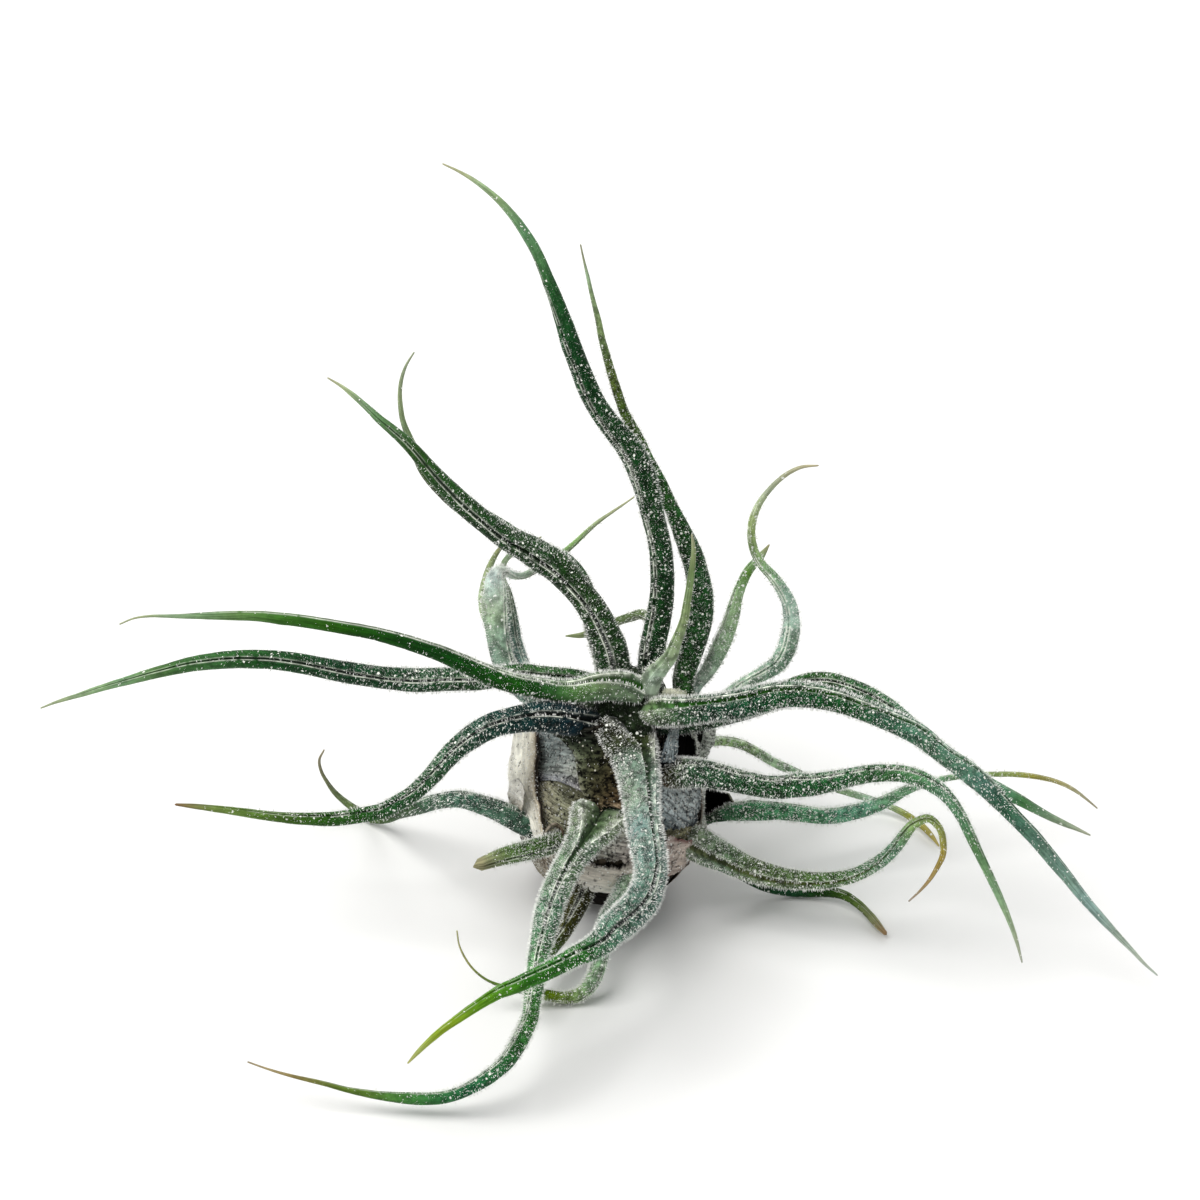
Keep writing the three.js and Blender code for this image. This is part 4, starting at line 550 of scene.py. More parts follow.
# ---- leaves ----
# tone: flesh colour by part of length; inner: colour of the channel floor, else the flesh darkened as painted shade,
# laid on more the deeper the channel; open: half angle of the channel; deep: its depth;
# hair: hairs to a square mm; frost: share of flat scales that show; wide: width and thickness factors near the base.
LOOK = {
    "leaf_top_tall": dict(tone="0 1a4422, .3 204a24, .6 184420, .72 2a5c30, .82 6a9468, .92 98ac84, 1 c0b898", hair=2.6, frost=.12),
    "leaf_top_behind": dict(tone="0 2a5228, .3 244e26, .5 35602c, .62 465c2c, .74 66743c, .84 8c9c6c, .93 a0b088, 1 b8ac8c", hair=3.5, frost=.14),
    "leaf_young_centre": dict(tone="0 b9c2ac, .1 a6b69a, .3 8aa27c, .55 88a26a, .8 7d9a58, .93 9fae74, 1 c2bd92", hair=1.0, frost=.0, vein=0),
    "leaf_upper_left": dict(tone="0 34552c, .2 2c4c24, .5 264a22, .75 305620, .86 6a8c5a, .94 98a880, 1 b8b094", hair=3.0, frost=.16),
    "leaf_upper_left_snaking": dict(tone="0 3a5a2e, .25 30542a, .45 5f8060, .58 203c1c, .7 46602c, .82 a0b48c, 1 b8b490", hair=2.6, frost=.16),
    "leaf_left_upper": dict(tone="0 9caf98, .07 8ba286, .13 6c9460, .2 2c6a24, .4 154c0c, .55 2a5e18, .7 4f8038, .84 88a474, 1 b4b494", hair=2.4, frost=.05, inner="265610", dust=.04),
    "leaf_left_long": dict(tone="0 3c6038, .15 3c6838, .3 2a5a36, .45 18482a, .6 2c5e30, .75 547e48, .88 8fac7c, 1 b4b894", hair=3.0, frost=.14),
    "leaf_left_arched": dict(tone="0 0f242c, .12 122c36, .25 1e4440, .4 3c6448, .55 2e5a2c, .7 345c18, .82 5f7a2c, .93 7a8a44, 1 8f6a4c", hair=4.0, frost=.18),
    "leaf_left_low": dict(tone="0 2c443c, .12 4c6a5c, .35 3f6a4c, .55 2f501c, .68 5f7a3c, .85 7d8460, 1 b0a08c", hair=3.6, frost=.16),
    "leaf_trimmed_short": dict(tone="0 6c7a50, .3 56783c, .7 6a8444, .9 98905a, 1 8a6a44", hair=7, frost=.24),
    "leaf_front_lowest": dict(tone="0 8a9880, .1 6f8a68, .28 568060, .42 4a8040, .55 2c6238, .62 2f6a44, .72 42783a, .84 6f8430, .93 a08a5c, 1 b09a7c", hair=9, frost=.36),
    # painted shade: the hanging leaf's tone starts near-black where its base sits in the shadowed neck of the crown
    "leaf_front_hanging": dict(tone="0 1c1e12, .04 33361f, .075 4c5636, .12 7e9484, .22 98b0a6, .4 5d8078, .52 5a8474, .6 3a7034, .72 3a7a28, .82 6c9a30, .92 9cac3c, 1 d0c880", hair=9, frost=.34),
    "leaf_front_hook": dict(tone="0 98a894, .16 a8b4a0, .28 6c9a80, .38 a0b8a0, .48 7d9068, .57 6a7c20, .68 3c7418, .78 7c8c3c, .88 a8a464, 1 d0c494", hair=9, frost=.34),
    "leaf_front_olive": dict(tone="0 35331a, .25 4a4620, .4 5c5a2c, .55 4f6a3c, .8 3f7034, 1 6f7c38", hair=2.2, frost=.08, dust=.14),
    "leaf_right_main": dict(tone="0 8f9f90, .04 4f6a56, .1 2c5640, .24 1e5630, .35 265c34, .5 5f8a74, .62 3f745a, .78 6c9488, .88 98b4ac, 1 c4ccc4", hair=5.5, frost=.2),
    "leaf_right_behind": dict(tone="0 34503c, .15 2e5438, .35 345c2c, .48 4c7a54, .6 4c7c60, .74 7aa48c, .84 4f7e48, .94 a4b298, 1 c0bca8", hair=5.0, frost=.18),
    "leaf_right_middle": dict(tone="0 6a4a3c, .035 4c4630, .08 345a3c, .22 22502a, .35 2c5e34, .5 4c7a50, .6 7a9c7c, .72 749c68, .88 a8c094, 1 d0ccbc", hair=6, frost=.2),
    "leaf_right_open_sheath": dict(tone="0 3c4c34, .12 3e7a52, .3 4f8868, .42 6a9c7c, .6 7aa474, .74 8ca05c, .82 a49a40, .92 bcae84, 1 b8a894", hair=5, frost=.18),
    "leaf_right_hooked": dict(tone="0 7c8470, .12 667a5a, .25 5a6e40, .4 4e6c32, .6 6a9470, .73 98b068, .84 b4983c, .93 c09c68, 1 b09c94", hair=6, frost=.2),
    "leaf_right_low": dict(tone="0 3c5434, .2 305428, .35 1c4c24, .5 245638, .66 2c5808, .8 5f7634, .92 98966c, 1 a07c5a", hair=2.6, frost=.12),
    "leaf_right_thin": dict(tone="0 8aa070, .2 84a46c, .35 9cb88c, .55 5c8458, .72 a0bc9c, .85 848c3c, 1 b0a060", hair=3.0, frost=.62),
    "leaf_right_s_curved": dict(tone="0 7aa080, .15 8cb490, .3 6a9c74, .42 98bca8, .55 7aa46c, .7 98b06c, .8 a8b894, 1 b8b090", hair=3.5, frost=.62),
    "leaf_right_pale": dict(tone="0 98b4a4, .25 98b4a0, .35 7aa07c, .6 84a878, .7 84a474, .82 567e30, .92 8cac88, 1 a3a27c", hair=3.6, frost=.62),
    "leaf_back_left_pale_hook": dict(tone="0 5f7a68, .2 6f8c7c, .3 7f9c84, .37 a4b8a4, .43 cad8cc, .5 b8c8b8, .62 8ca480, .75 7ca05c, .88 a8b488, 1 b8b88c", hair=3.6, frost=.62),
    "leaf_back_left_narrow": dict(tone="0 7d9c90, .3 84a294, .46 5c7c6c, .6 5f7c64, .75 98b490, 1 a8b084", hair=3.4, frost=.62),
    "leaf_back_left_thin": dict(tone="0 70a084, .35 7aa894, .5 90ac84, .8 a0b07c, 1 b8ac84", hair=3.2, frost=.62),
    "leaf_back_curl": dict(tone="0 5a7a44, .5 7a9458, .8 7a9048, .93 a0ac74, 1 a0ac74", hair=3.0, frost=.26),
    "leaf_back_low": dict(tone="0 3c5a3c, .3 3f6a44, .7 4b7848, .9 7a9458, 1 a09a70", hair=4.0, frost=.26),
}
OPEN = [(0, 30), (0.05, 18), (0.12, 9), (0.3, 6.5), (0.7, 6.5), (1, 8)]
DEEP = [(0, 0.7), (0.1, 0.6), (0.4, 0.5), (0.75, 0.3), (1, 0.08)]
INSIDE, LIP, AROUND = 13, 3, 47      # section points across the channel, on each lip, and round the back


def fine_line(stations, spacing):
    p = np.array(stations, float)
    q = np.vstack([2 * p[0] - p[1], p, 2 * p[-1] - p[-2]])
    out = []
    for i in range(1, len(q) - 2):
        seg = np.linalg.norm(q[i + 1, :3] - q[i, :3])
        n = max(2, int(round(seg / spacing)))
        t = (np.arange(n) / n)[:, None]
        out.append(0.5 * ((2 * q[i]) + (q[i + 1] - q[i - 1]) * t + (2 * q[i - 1] - 5 * q[i] + 4 * q[i + 1] - q[i + 2]) * t ** 2
                          + (3 * q[i] - q[i - 1] - 3 * q[i + 1] + q[i + 2]) * t ** 3))
    out.append(p[-1:])
    return np.vstack(out)


def channel_at(turn, stations, fine, rooted=False):
    """Channel direction at every fine point, from the turns at the stations."""
    p = np.array(stations, float)[:, :3]
    n = len(p)
    t = unit(p[np.minimum(n - 1, np.arange(n) + 1)] - p[np.maximum(0, np.arange(n) - 1)])
    side = unit(np.cross(t, VIEW))
    face = unit(np.cross(side, t))
    a = np.radians(table(turn, np.linspace(0, 1, n)))[:, None]
    c = np.cos(a) * face + np.sin(a) * side
    for _ in range(6):
        s = 2 * c + c[np.maximum(0, np.arange(n) - 1)] + c[np.minimum(n - 1, np.arange(n) + 1)]
        c = unit(s - (s * t).sum(1, keepdims=True) * t)
    d = np.concatenate([[0], np.cumsum(np.linalg.norm(np.diff(p, axis=0), axis=1))])
    f = np.concatenate([[0], np.cumsum(np.linalg.norm(np.diff(fine, axis=0), axis=1))])
    f = d[-1] - (f[-1] - f) * (1.0 if rooted else min(1.0, d[-1] / f[-1]))
    return np.stack([np.interp(f, d, c[:, k]) for k in range(3)], 1)


def smooth_rows(a, passes):
    for _ in range(passes):
        a = np.concatenate([a[:1], (a[:-2] + 2 * a[1:-1] + a[2:]) / 4, a[-1:]])
    return a


def leaf(name):
    turn, stations = LEAVES[name]
    look = LOOK[name]
    turn = look.get("turn", turn)
    seed = seed_of(name)
    root = look.get("root", [])                  # stations that lead the leaf down into the bulb
    line = fine_line(list(root) + list(stations), 0.24)
    line = line[int(len(line) * look.get("start", 0)):]
    if "nudge" in look:
        part = np.linspace(0, 1, len(line))
        for k in range(3):
            line[:, k] += table([(q[0], q[1 + k]) for q in look["nudge"]], part)
    pts, rad = line[:, :3], line[:, 3]
    n = len(pts)
    seg = np.linalg.norm(np.diff(pts, axis=0), axis=1)
    arc = np.concatenate([[0], np.cumsum(seg)])
    first = arc[np.argmin(np.linalg.norm(pts - np.array(stations[0][:3]), axis=1))] if root else 0.0
    frac = np.clip((arc - first) / (arc[-1] - first), 0, 1)
    tan = unit(smooth_rows(np.gradient(pts, axis=0), 4))
    cha = smooth_rows(channel_at(turn, stations, pts, bool(root)), 20)
    cha = unit(cha - (cha * tan).sum(1, keepdims=True) * tan)
    side = np.cross(tan, cha)
    fluff = table([(0, 1), (0.5, 1), (0.8, 0.4), (0.95, 0), (1, 0)], frac)
    rad = np.maximum(rad * (1 - 0.03 * fluff) - 0.06 * fluff, 0.05 + 0.25 * rad)      # the hairs make up the rest of the width
    # slow unevenness of the stem: swellings and a slight flattening
    rad = rad * (1 + 0.05 * (cloud(np.stack([arc * 0.16, arc * 0 + seed, arc * 0], 1), 1.0, 2, seed) - 0.5) * 2)
    g = np.radians(table(look.get("open", OPEN), frac))
    d = table(look.get("deep", DEEP), frac)
    wide = look.get("wide", [(0, 1.0, 1.0), (1, 1.0, 1.0)])
    ws = np.interp(frac, [w[0] for w in wide], [w[1] for w in wide])
    wf = np.interp(frac, [w[0] for w in wide], [w[2] for w in wide])
    lipw = np.minimum(0.34, look.get("brim", 0.16) / np.maximum(rad, 0.25))       # radians
    # section: angles for every ring
    m = INSIDE + 2 * LIP + AROUND
    phi = np.zeros((n, m))
    kind = np.zeros(m)
    across = np.linspace(-1, 1, INSIDE)
    for k in range(INSIDE):
        phi[:, k] = across[k] * g
    for k in range(LIP):
        phi[:, INSIDE + k] = g + lipw * (k + 1) / LIP
        phi[:, m - 1 - k] = -(g + lipw * (k + 1) / LIP)
    start = g + lipw
    for k in range(AROUND):
        w = (k + 1) / (AROUND + 1)
        phi[:, INSIDE + LIP + k] = start + (2 * np.pi - 2 * start) * w
    phi = np.where(phi > np.pi, phi - 2 * np.pi, phi)
    q = np.abs(phi) / g[:, None]
    inside = np.clip(1 - q, 0, 1)
    shape = 1 - d[:, None] * (1 - np.clip(q, 0, 1) ** look.get("vee", 1.6))
    lip = np.exp(-((np.abs(phi) - g[:, None] - 0.5 * lipw[:, None]) / (0.6 * lipw[:, None])) ** 2)
    ripple = noise(np.stack([arc * 0.9, arc * 0, arc * 0 + 3], 1), 1.0, seed)[:, None] - 0.5
    lift = 0.055 * (1 + 1.2 * ripple) * table([(0, 1.6), (0.3, 1), (0.8, 0.6), (1, 0)], frac)[:, None]
    shape = shape * (1 + lip * lift)
    # faint lengthwise ribs and small bumps on the outside
    outside = np.clip((np.abs(phi) - g[:, None] - lipw[:, None]) / 0.25, 0, 1)
    ribs = 0.010 * np.cos(11 * phi + 2.2 * ripple)
    where = pts[:, None, :] + rad[:, None, None] * (np.cos(phi)[..., None] * cha[:, None] + np.sin(phi)[..., None] * side[:, None])
    grit = (noise(where, 1.9, seed) - 0.5) * 0.030 + (noise(where, 0.7, seed + 1) - 0.5) * 0.05
    shape = shape * (1 + outside * (ribs + grit / np.maximum(rad[:, None], 0.5) * 1.0))
    ox = np.cos(phi) * shape * rad[:, None] * wf[:, None]
    oy = np.sin(phi) * shape * rad[:, None] * ws[:, None]
    off = ox[..., None] * cha[:, None] + oy[..., None] * side[:, None]
    if "shear" in look:
        amount, upto = look["shear"]
        fade = np.clip(1 - frac / upto, 0, 1)[:, None]
        off = off + tan[:, None] * (amount * fade * np.clip(oy / np.maximum(rad * ws, 0.1)[:, None], -1, 1))[..., None]
    # keep the inner side of a tight bend from folding through itself
    bend = smooth_rows(np.gradient(tan, axis=0) / np.maximum(np.gradient(arc), 1e-6)[:, None], 6)
    kappa = np.linalg.norm(bend, axis=1)
    toward = bend / np.maximum(kappa, 1e-9)[:, None]
    reach = (off * toward[:, None]).sum(-1)
    limit = 0.82 / np.maximum(kappa, 1e-6)[:, None]
    over = np.maximum(0, reach - limit)
    off = off - over[..., None] * toward[:, None]
    ring = pts[:, None] + off
    verts = ring.reshape(-1, 3)
    i, j = np.meshgrid(np.arange(n - 1), np.arange(m), indexing="ij")
    j2 = (j + 1) % m
    quads = np.stack([i * m + j, i * m + j2, (i + 1) * m + j2, (i + 1) * m + j], -1).reshape(-1, 4)
    # end caps
    base_c, tip_c = len(verts), len(verts) + 1
    verts = np.vstack([verts, pts[0] - tan[0] * 0.1, pts[-1] + tan[-1] * rad[-1] * 1.4])
    k = np.arange(m)
    caps = np.vstack([np.stack([np.full(m, base_c), (k + 1) % m, k], 1),
                      np.stack([np.full(m, tip_c), (n - 1) * m + k, (n - 1) * m + (k + 1) % m], 1)])
    # colour
    flesh = ramp(look["tone"], frac)[:, None] * np.ones((1, m, 1)) * table(look.get("shade", [(0, .62), (.45, .66), (.7, .8), (.9, 1)]), frac)[:, None, None]
    slow = cloud(where, 0.33, 3, seed + 9)[..., None]
    flesh = flesh * (0.58 + 0.38 * slow) * np.array(look.get("cast", (0.95, 1.05, 0.97)))
    warm = cloud(where, 0.21, 2, seed + 21)[..., None]
    flesh = flesh * (1 + (warm - 0.5) * np.array([0.30, 0.06, -0.30]))
    grey = flesh.mean(-1, keepdims=True)
    flesh = np.maximum(grey + (flesh - grey) * table(look.get("vivid", [(0, 1.15), (.3, 1.22), (.6, 1.2), (.8, 1.0), (1, .9)]), frac)[:, None, None], 0.002)
    # painted shade in the channel: its floor is the given inner colour (the greener, less scaly inside) or else the
    # flesh darkened to about a quarter, blended in more the deeper the channel
    floor = srgb(look["inner"]) if "inner" in look else ramp(look["tone"], frac)[:, None] * np.array([0.26, 0.32, 0.22])
    channel_shade = step(inside, 0.05, 0.45)[..., None] * np.clip(table(look.get("deep", DEEP), frac) * 2.2, 0, 1)[:, None, None]
    flesh = flesh * (1 - channel_shade) + floor * channel_shade
    # white line along the lips: the dense white scales of the margin, plus a painted highlight that makes the lower
    # lip's line stronger where it catches more light
    rim = look.get("rim", 0.85) * table([(0, 1), (0.6, 0.8), (0.85, 0.25), (1, 0)], frac)[:, None]
    thin = np.exp(-((np.abs(phi) - g[:, None] - 0.38 * lipw[:, None]) / (0.42 * lipw[:, None])) ** 2)
    rim = rim * thin * step(noise(np.stack([arc * 1.6, arc * 0, arc * 0 + 8], 1), 1.0, seed + 4), 0.15, 0.5)[:, None]
    lower, upper = look.get("lips", (1.0, 0.5))                                     # the lower lip catches more light on most
    rim = rim * np.where(phi * np.sign(side[:, 2:3] + 1e-9) < 0, lower, upper)
    flesh = flesh * (1 - rim[..., None]) + np.array([0.88, 0.91, 0.80]) * rim[..., None]
    frost = (look.get("dust", 0.24) + 0.6 * look["frost"]) * (0.6 + 0.8 * cloud(where, 0.45, 2, seed + 31))
    frost = frost * (1 - 0.75 * step(inside, 0.1, 0.5)) * table([(0, 1.5), (0.4, 1.45), (0.6, .9), (0.8, 0.5), (0.95, 0.15), (1, 0.05)], frac)[:, None]
    frost = np.clip(frost * np.sqrt(table(look.get("bare", [(0, 1), (1, 1)]), frac))[:, None] + 0.3 * lip * rim, 0, 0.95)
    grain = np.stack([np.abs(phi) * 1.5 * 2.2 + seed % 17, arc[:, None] * 0.16 + 0 * phi, 0 * phi], -1)

    def flat(a, x):
        return np.concatenate([a.reshape(n * m, -1), x], 0)
    tint = flat(flesh, np.vstack([flesh[0].mean(0), flesh[-1].mean(0)]))
    fr = np.concatenate([frost.ravel(), [0, 0]])
    gr = flat(grain, np.vstack([grain[0, 0], grain[-1, 0]]))
    slot = look.get("slot", "leaf_green")
    mat = {"leaf_green": M_GREEN, "leaf_pale": M_PALE, "leaf_olive": M_OLIVE}[slot]
    calm = np.repeat(table(look.get("calm", [(0, 1), (.4, .85), (.6, .5), (.8, .25), (1, .1)]), frac), m)
    ob = make(name + "_fine", verts, [quads, caps], mat, tint, fr, gr, name, calm=np.concatenate([calm, [calm[0], calm[-1]]]))
    # hairs
    weight = np.ones((n, m)) * table([(0, 1.0), (0.5, 1.0), (0.75, 0.45), (0.9, 0.12), (1, 0.02)], frac)[:, None]
    weight = weight * (1 - step(inside, 0.0, 0.2)) * (1 + 1.3 * look.get("fuzz", 1) * lip * table([(0, 1), (0.7, 0.8), (1, 0)], frac)[:, None])
    above = (np.cos(phi)[..., None] * cha[:, None] + np.sin(phi)[..., None] * side[:, None]) @ np.array([-0.5, 0.0, 0.866])
    weight = weight * (0.85 + 0.9 * np.clip(above, 0, 1))       # the side turned to the light is the more hairy
    weight = weight * (0.55 + 0.9 * cloud(where, 0.4, 2, seed + 41)) * table(look.get("bare", [(0, 1), (1, 1)]), frac)[:, None]
    hairs(name + "_hairs", ring, tan, weight * (2.3 + 1.8 * look["hair"]), seed, look.get("long", 1.0), flat=0.035)
    return ob


def hairs(name, ring, along, density, seed, size=1.0, material=None, lean=(1.2, 1.57), wrap=True, flat=0.04):
    """Small pointed scales standing on a grid surface, leaning toward its far end. density is per square mm."""
    rng = np.random.default_rng(seed + 77)
    n, m = ring.shape[:2]
    m2 = m if wrap else m - 1
    a = ring[:-1, :m2]
    b = np.roll(ring, -1, 1)[:-1, :m2]
    c = np.roll(ring, -1, 1)[1:, :m2]
    d = ring[1:, :m2]
    cr = np.cross(c - a, d - b)
    area = 0.5 * np.linalg.norm(cr, axis=-1)
    normal = cr / np.maximum(2 * area[..., None], 1e-12)
    want = area * density[:-1, :m2]
    count = rng.poisson(want.ravel())
    idx = np.repeat(np.arange(count.size), count)
    if len(idx) == 0:
        return None
    if len(idx) > 95000:
        idx = rng.choice(idx, 95000, replace=False)
    k = len(idx)
    u, v = rng.random((2, k, 1))
    A, B, C, D = (x.reshape(-1, 3)[idx] for x in (a, b, c, d))
    p = (A * (1 - u) + B * u) * (1 - v) + (D * (1 - u) + C * u) * v
    nn = normal.reshape(-1, 3)[idx]
    if along.ndim == 2:
        t = np.repeat(along[:-1, None], m2, 1).reshape(-1, 3)[idx]
    else:
        t = along[:-1, :m2].reshape(-1, 3)[idx]
    t = unit(t - (t * nn).sum(1, keepdims=True) * nn)
    s = np.cross(nn, t)
    lying = rng.random((k, 1)) < flat          # some lie down as flat scales
    tilt = np.where(lying, rng.uniform(0.08, 0.5, (k, 1)), rng.uniform(lean[0], lean[1], (k, 1)))
    turn = rng.normal(0, 0.6, (k, 1))
    d1 = unit(nn * np.sin(tilt) + np.cos(tilt) * (t * np.cos(turn) + s * np.sin(turn)))
    w = unit(np.cross(d1, nn))
    roll = np.where(lying, rng.uniform(-0.3, 0.3, (k, 1)), rng.uniform(-1.6, 1.6, (k, 1)))
    w = unit(w * np.cos(roll) + np.cross(d1, w) * np.sin(roll))
    length = size * rng.uniform(0.26, 0.60, (k, 1)) * np.where(lying, 0.7, 1.0)
    width = size * rng.uniform(0.032, 0.054, (k, 1)) * np.where(lying, 1.9, 1.0)
    root = p - nn * 0.02
    curve = nn * length * rng.uniform(-0.12, 0.1, (k, 1))
    quad = np.stack([root, root + d1 * length * 0.5 + w * width + curve, root + d1 * length, root + d1 * length * 0.5 - w * width + curve], 1)
    faces = np.arange(4 * k).reshape(k, 4)
    return make(name, quad.reshape(-1, 3), [faces], material or M_HAIR, smooth=False)


SLOTS = {"leaf_young_centre": "leaf_pale", "leaf_right_pale": "leaf_pale", "leaf_right_s_curved": "leaf_pale",
         "leaf_back_left_pale_hook": "leaf_pale", "leaf_back_left_narrow": "leaf_pale", "leaf_front_olive": "leaf_olive",
         "leaf_trimmed_short": "leaf_olive"}
for name, slot in SLOTS.items():
    LOOK[name]["slot"] = slot
LOOK["leaf_front_hanging"].update(
    open=[(0, 62), (0.04, 40), (0.08, 20), (0.2, 13), (0.3, 10), (0.5, 8), (0.6, 11), (1, 9)],
    deep=[(0, 0.8), (0.1, 0.5), (0.2, 0.7), (0.5, 0.75), (0.6, 0.3), (1, 0.1)], fuzz=.35,
    wide=[(0, 1.75, 0.85), (0.03, 1.6, 0.9), (0.09, 1.2, 1.0), (0.2, 1, 1), (1, 1, 1)], rim=.8)
LOOK["leaf_left_upper"].update(wide=[(0, 1.3, 1.15), (.08, 1.25, 1.1), (.16, 1.05, 1), (1, 1, 1)])
LOOK["leaf_back_left_pale_hook"].update(
    wide=[(0, .7, .9), (.174, .6, .85), (.26, .565, .8), (.304, .556, .8), (.348, .535, .8), (.39, .64, .85), (.435, .82, .9), (.55, .85, .9), (.7, 1, 1), (1, 1, 1)],
    nudge=[(0, 0, 0, 0), (.12, -.5, 0, 0), (.2, -.9, 0, 0), (.24, -.93, 0, 0), (.28, -.83, 0, 0), (.36, -.79, 0, 0), (.40, -.41, 0, 0), (.44, .2, 0, 0), (.5, 0, 0, 0), (1, 0, 0, 0)],
    turn=[(0, 30), (.15, 44), (.3, 50), (.38, 52), (.5, 50), (.62, 40), (1, 40)], open=[(0, 9), (1, 8)], lips=(1, 1))
LOOK["leaf_back_left_narrow"].update(
    wide=[(0, .75, .9), (.31, .87, .95), (.38, .96, 1), (.46, 1.1, 1.05), (.54, 1.2, 1.1), (.62, .95, 1), (1, .9, 1)],
    nudge=[(0, 0, 0, 0), (.25, -.3, 0, 0), (.33, -.45, 0, 0), (.4, -.6, 0, 0), (.47, -.7, 0, 0), (.53, -.45, 0, 0), (.6, -.33, 0, 0), (.67, 0, 0, 0), (1, 0, 0, 0)])
LOOK["leaf_top_behind"].update(wide=[(0, 1, 1), (.38, .9, 1), (.48, .8, 1), (.6, .95, 1), (1, 1, 1)])
LOOK["leaf_upper_left_snaking"].update(wide=[(0, 1, 1), (.3, .85, 1), (.4, .6, 1), (.55, .75, 1), (.8, .75, 1), (1, 1, 1)])
LOOK["leaf_right_open_sheath"].update(nudge=[(0, 0, 0, -.8), (.05, 0, 0, -.6), (.12, 0, 0, 0), (1, 0, 0, 0)],
                                       wide=[(0, .3, .3), (.04, .5, .5), (.09, .9, .9), (.13, 1, 1), (1, 1, 1)])
LOOK["leaf_right_hooked"].update(wide=[(0, 1.25, 1), (.08, 1.15, 1), (.2, 1, 1), (1, 1, 1)])
LOOK["leaf_young_centre"].update(dust=0, rim=.1, deep=[(0, .1), (.3, .2), (1, .1)], open=[(0, 20), (1, 9)])
LOOK["leaf_front_lowest"].update(
    start=.015, shear=(1.3, .1), nudge=[(0, .8, 0, .2), (.1, .6, 0, .1), (.2, 0, 0, 0), (1, 0, 0, 0)], open=[(0, 52), (0.05, 36), (0.1, 17), (0.2, 8), (0.5, 7), (1, 8)], deep=[(0, 1.0), (0.06, 0.8), (0.12, 0.42), (0.3, 0.26), (1, 0.1)], lips=(1, 1),
    wide=[(0, 1.7, 0.9), (0.05, 1.4, 0.95), (0.12, .97, 1.0), (0.2, 0.92, 0.95), (0.5, 0.98, 1), (1, 1, 1)], rim=.95)

for name in ("leaf_young_centre", "leaf_right_pale", "leaf_right_s_curved", "leaf_back_left_pale_hook", "leaf_back_left_narrow",
             "leaf_back_left_thin", "leaf_right_thin"):
    LOOK[name].update(shade=[(0, 1.2), (1, 1.12)], vivid=[(0, .9), (1, 1)])
for name in ("leaf_top_tall", "leaf_left_long", "leaf_left_upper", "leaf_upper_left", "leaf_upper_left_snaking", "leaf_right_low"):
    LOOK[name]["shade"] = [(0, .5), (.5, .55), (.75, .8), (.88, .97), (1, 1)]
LOOK["leaf_right_main"].update(
    open=[(0, 10), (.04, 12), (.1, 15), (.3, 14), (1, 9)], deep=[(0, .15), (.05, .3), (.1, .5), (.4, .42), (.8, .3), (1, .1)],
    wide=[(0, .45, .45), (.008, .78, .78), (.02, .98, .98), (.045, 1.06, 1.06), (.1, 1, 1), (1, 1, 1)],
    tone="0 b0bca8, .035 8ea08a, .075 3f6248, .12 2c5640, .24 1e5630, .35 265c34, .5 6f9a86, .57 6f9a86, .64 3f745a, .78 7ca498, .88 98b4ac, 1 c4ccc4")
for name, root in {
        "leaf_back_left_pale_hook": [(-4.6, 2.2, 26.2, 1.1), (-6.9, 3.3, 27.0, 1.3)],
        "leaf_back_left_narrow": [(-4.0, 3.4, 26.4, .8), (-5.8, 4.9, 27.2, .9)],
        "leaf_back_left_thin": [(-5.0, 3.0, 25.8, .7), (-7.4, 4.5, 26.8, .75)],
        "leaf_back_curl": [(2.0, 3.5, 25.2, .9), (3.1, 5.6, 25.6, .85)],
        "leaf_top_behind": [(4.5, 2.5, 24.5, 1.3), (7.2, 3.8, 26.5, 1.4)],
        "leaf_right_pale": [(5.0, 2.6, 21.5, 1.0), (7.8, 4.0, 23.8, 1.0)],
        "leaf_right_s_curved": [(7.5, 3.8, 20.5, .9), (10.2, 5.0, 22.4, .95)],
        "leaf_right_thin": [(7.6, 4.6, 20.4, .9), (9.6, 5.8, 19.9, .9)]}.items():
    LOOK[name]["root"] = root
LOOK["leaf_back_low"].update(wide=[(0, 2.0, 1.1), (.06, 1.7, 1.05), (.14, 1.1, 1), (.2, 1, 1), (1, 1, 1)])
LOOK["leaf_back_curl"].update(wide=[(0, 1.8, 1.1), (.1, 1.4, 1), (.22, 1, 1), (1, 1, 1)])
LOOK["leaf_right_thin"].update(wide=[(0, 1.7, 1.1), (.06, 1.35, 1), (.14, 1, 1), (1, 1, 1)])
LOOK["leaf_left_arched"].update(bare=[(0, .25), (.1, .45), (.2, 1), (1, 1)], rim=.7)
LOOK["leaf_front_hanging"].update(nudge=[(0, 0, 0, 0), (.08, .5, 0, 0), (.35, .6, 0, 0), (.5, 0, 0, 0), (1, 0, 0, 0)], bare=[(0, .2), (.05, .35), (.12, 1), (1, 1)])
for name, shade in {"leaf_right_pale": 1.6, "leaf_back_left_narrow": 1.3, "leaf_right_s_curved": 1.32, "leaf_right_thin": 1.5, "leaf_back_left_thin": 1.4,
                    "leaf_right_open_sheath": 1.08, "leaf_right_hooked": .98, "leaf_front_hook": 1.05, "leaf_front_lowest": .88,
                    "leaf_back_left_pale_hook": 1.5, "leaf_young_centre": 1.28}.items():
    LOOK[name]["shade"] = [(0, shade), (1, 0.5 + 0.5 * shade)]
LOOK["leaf_right_low"]["shade"] = [(0, .5), (.7, .55), (.85, .9), (1, 1)]
LOOK["leaf_left_low"]["tone"] = "0 3c544c, .12 6a8a7c, .35 3f6a4c, .48 2c4c20, .6 2c4c1c, .72 5f7a3c, .85 7d8460, 1 b0a08c"
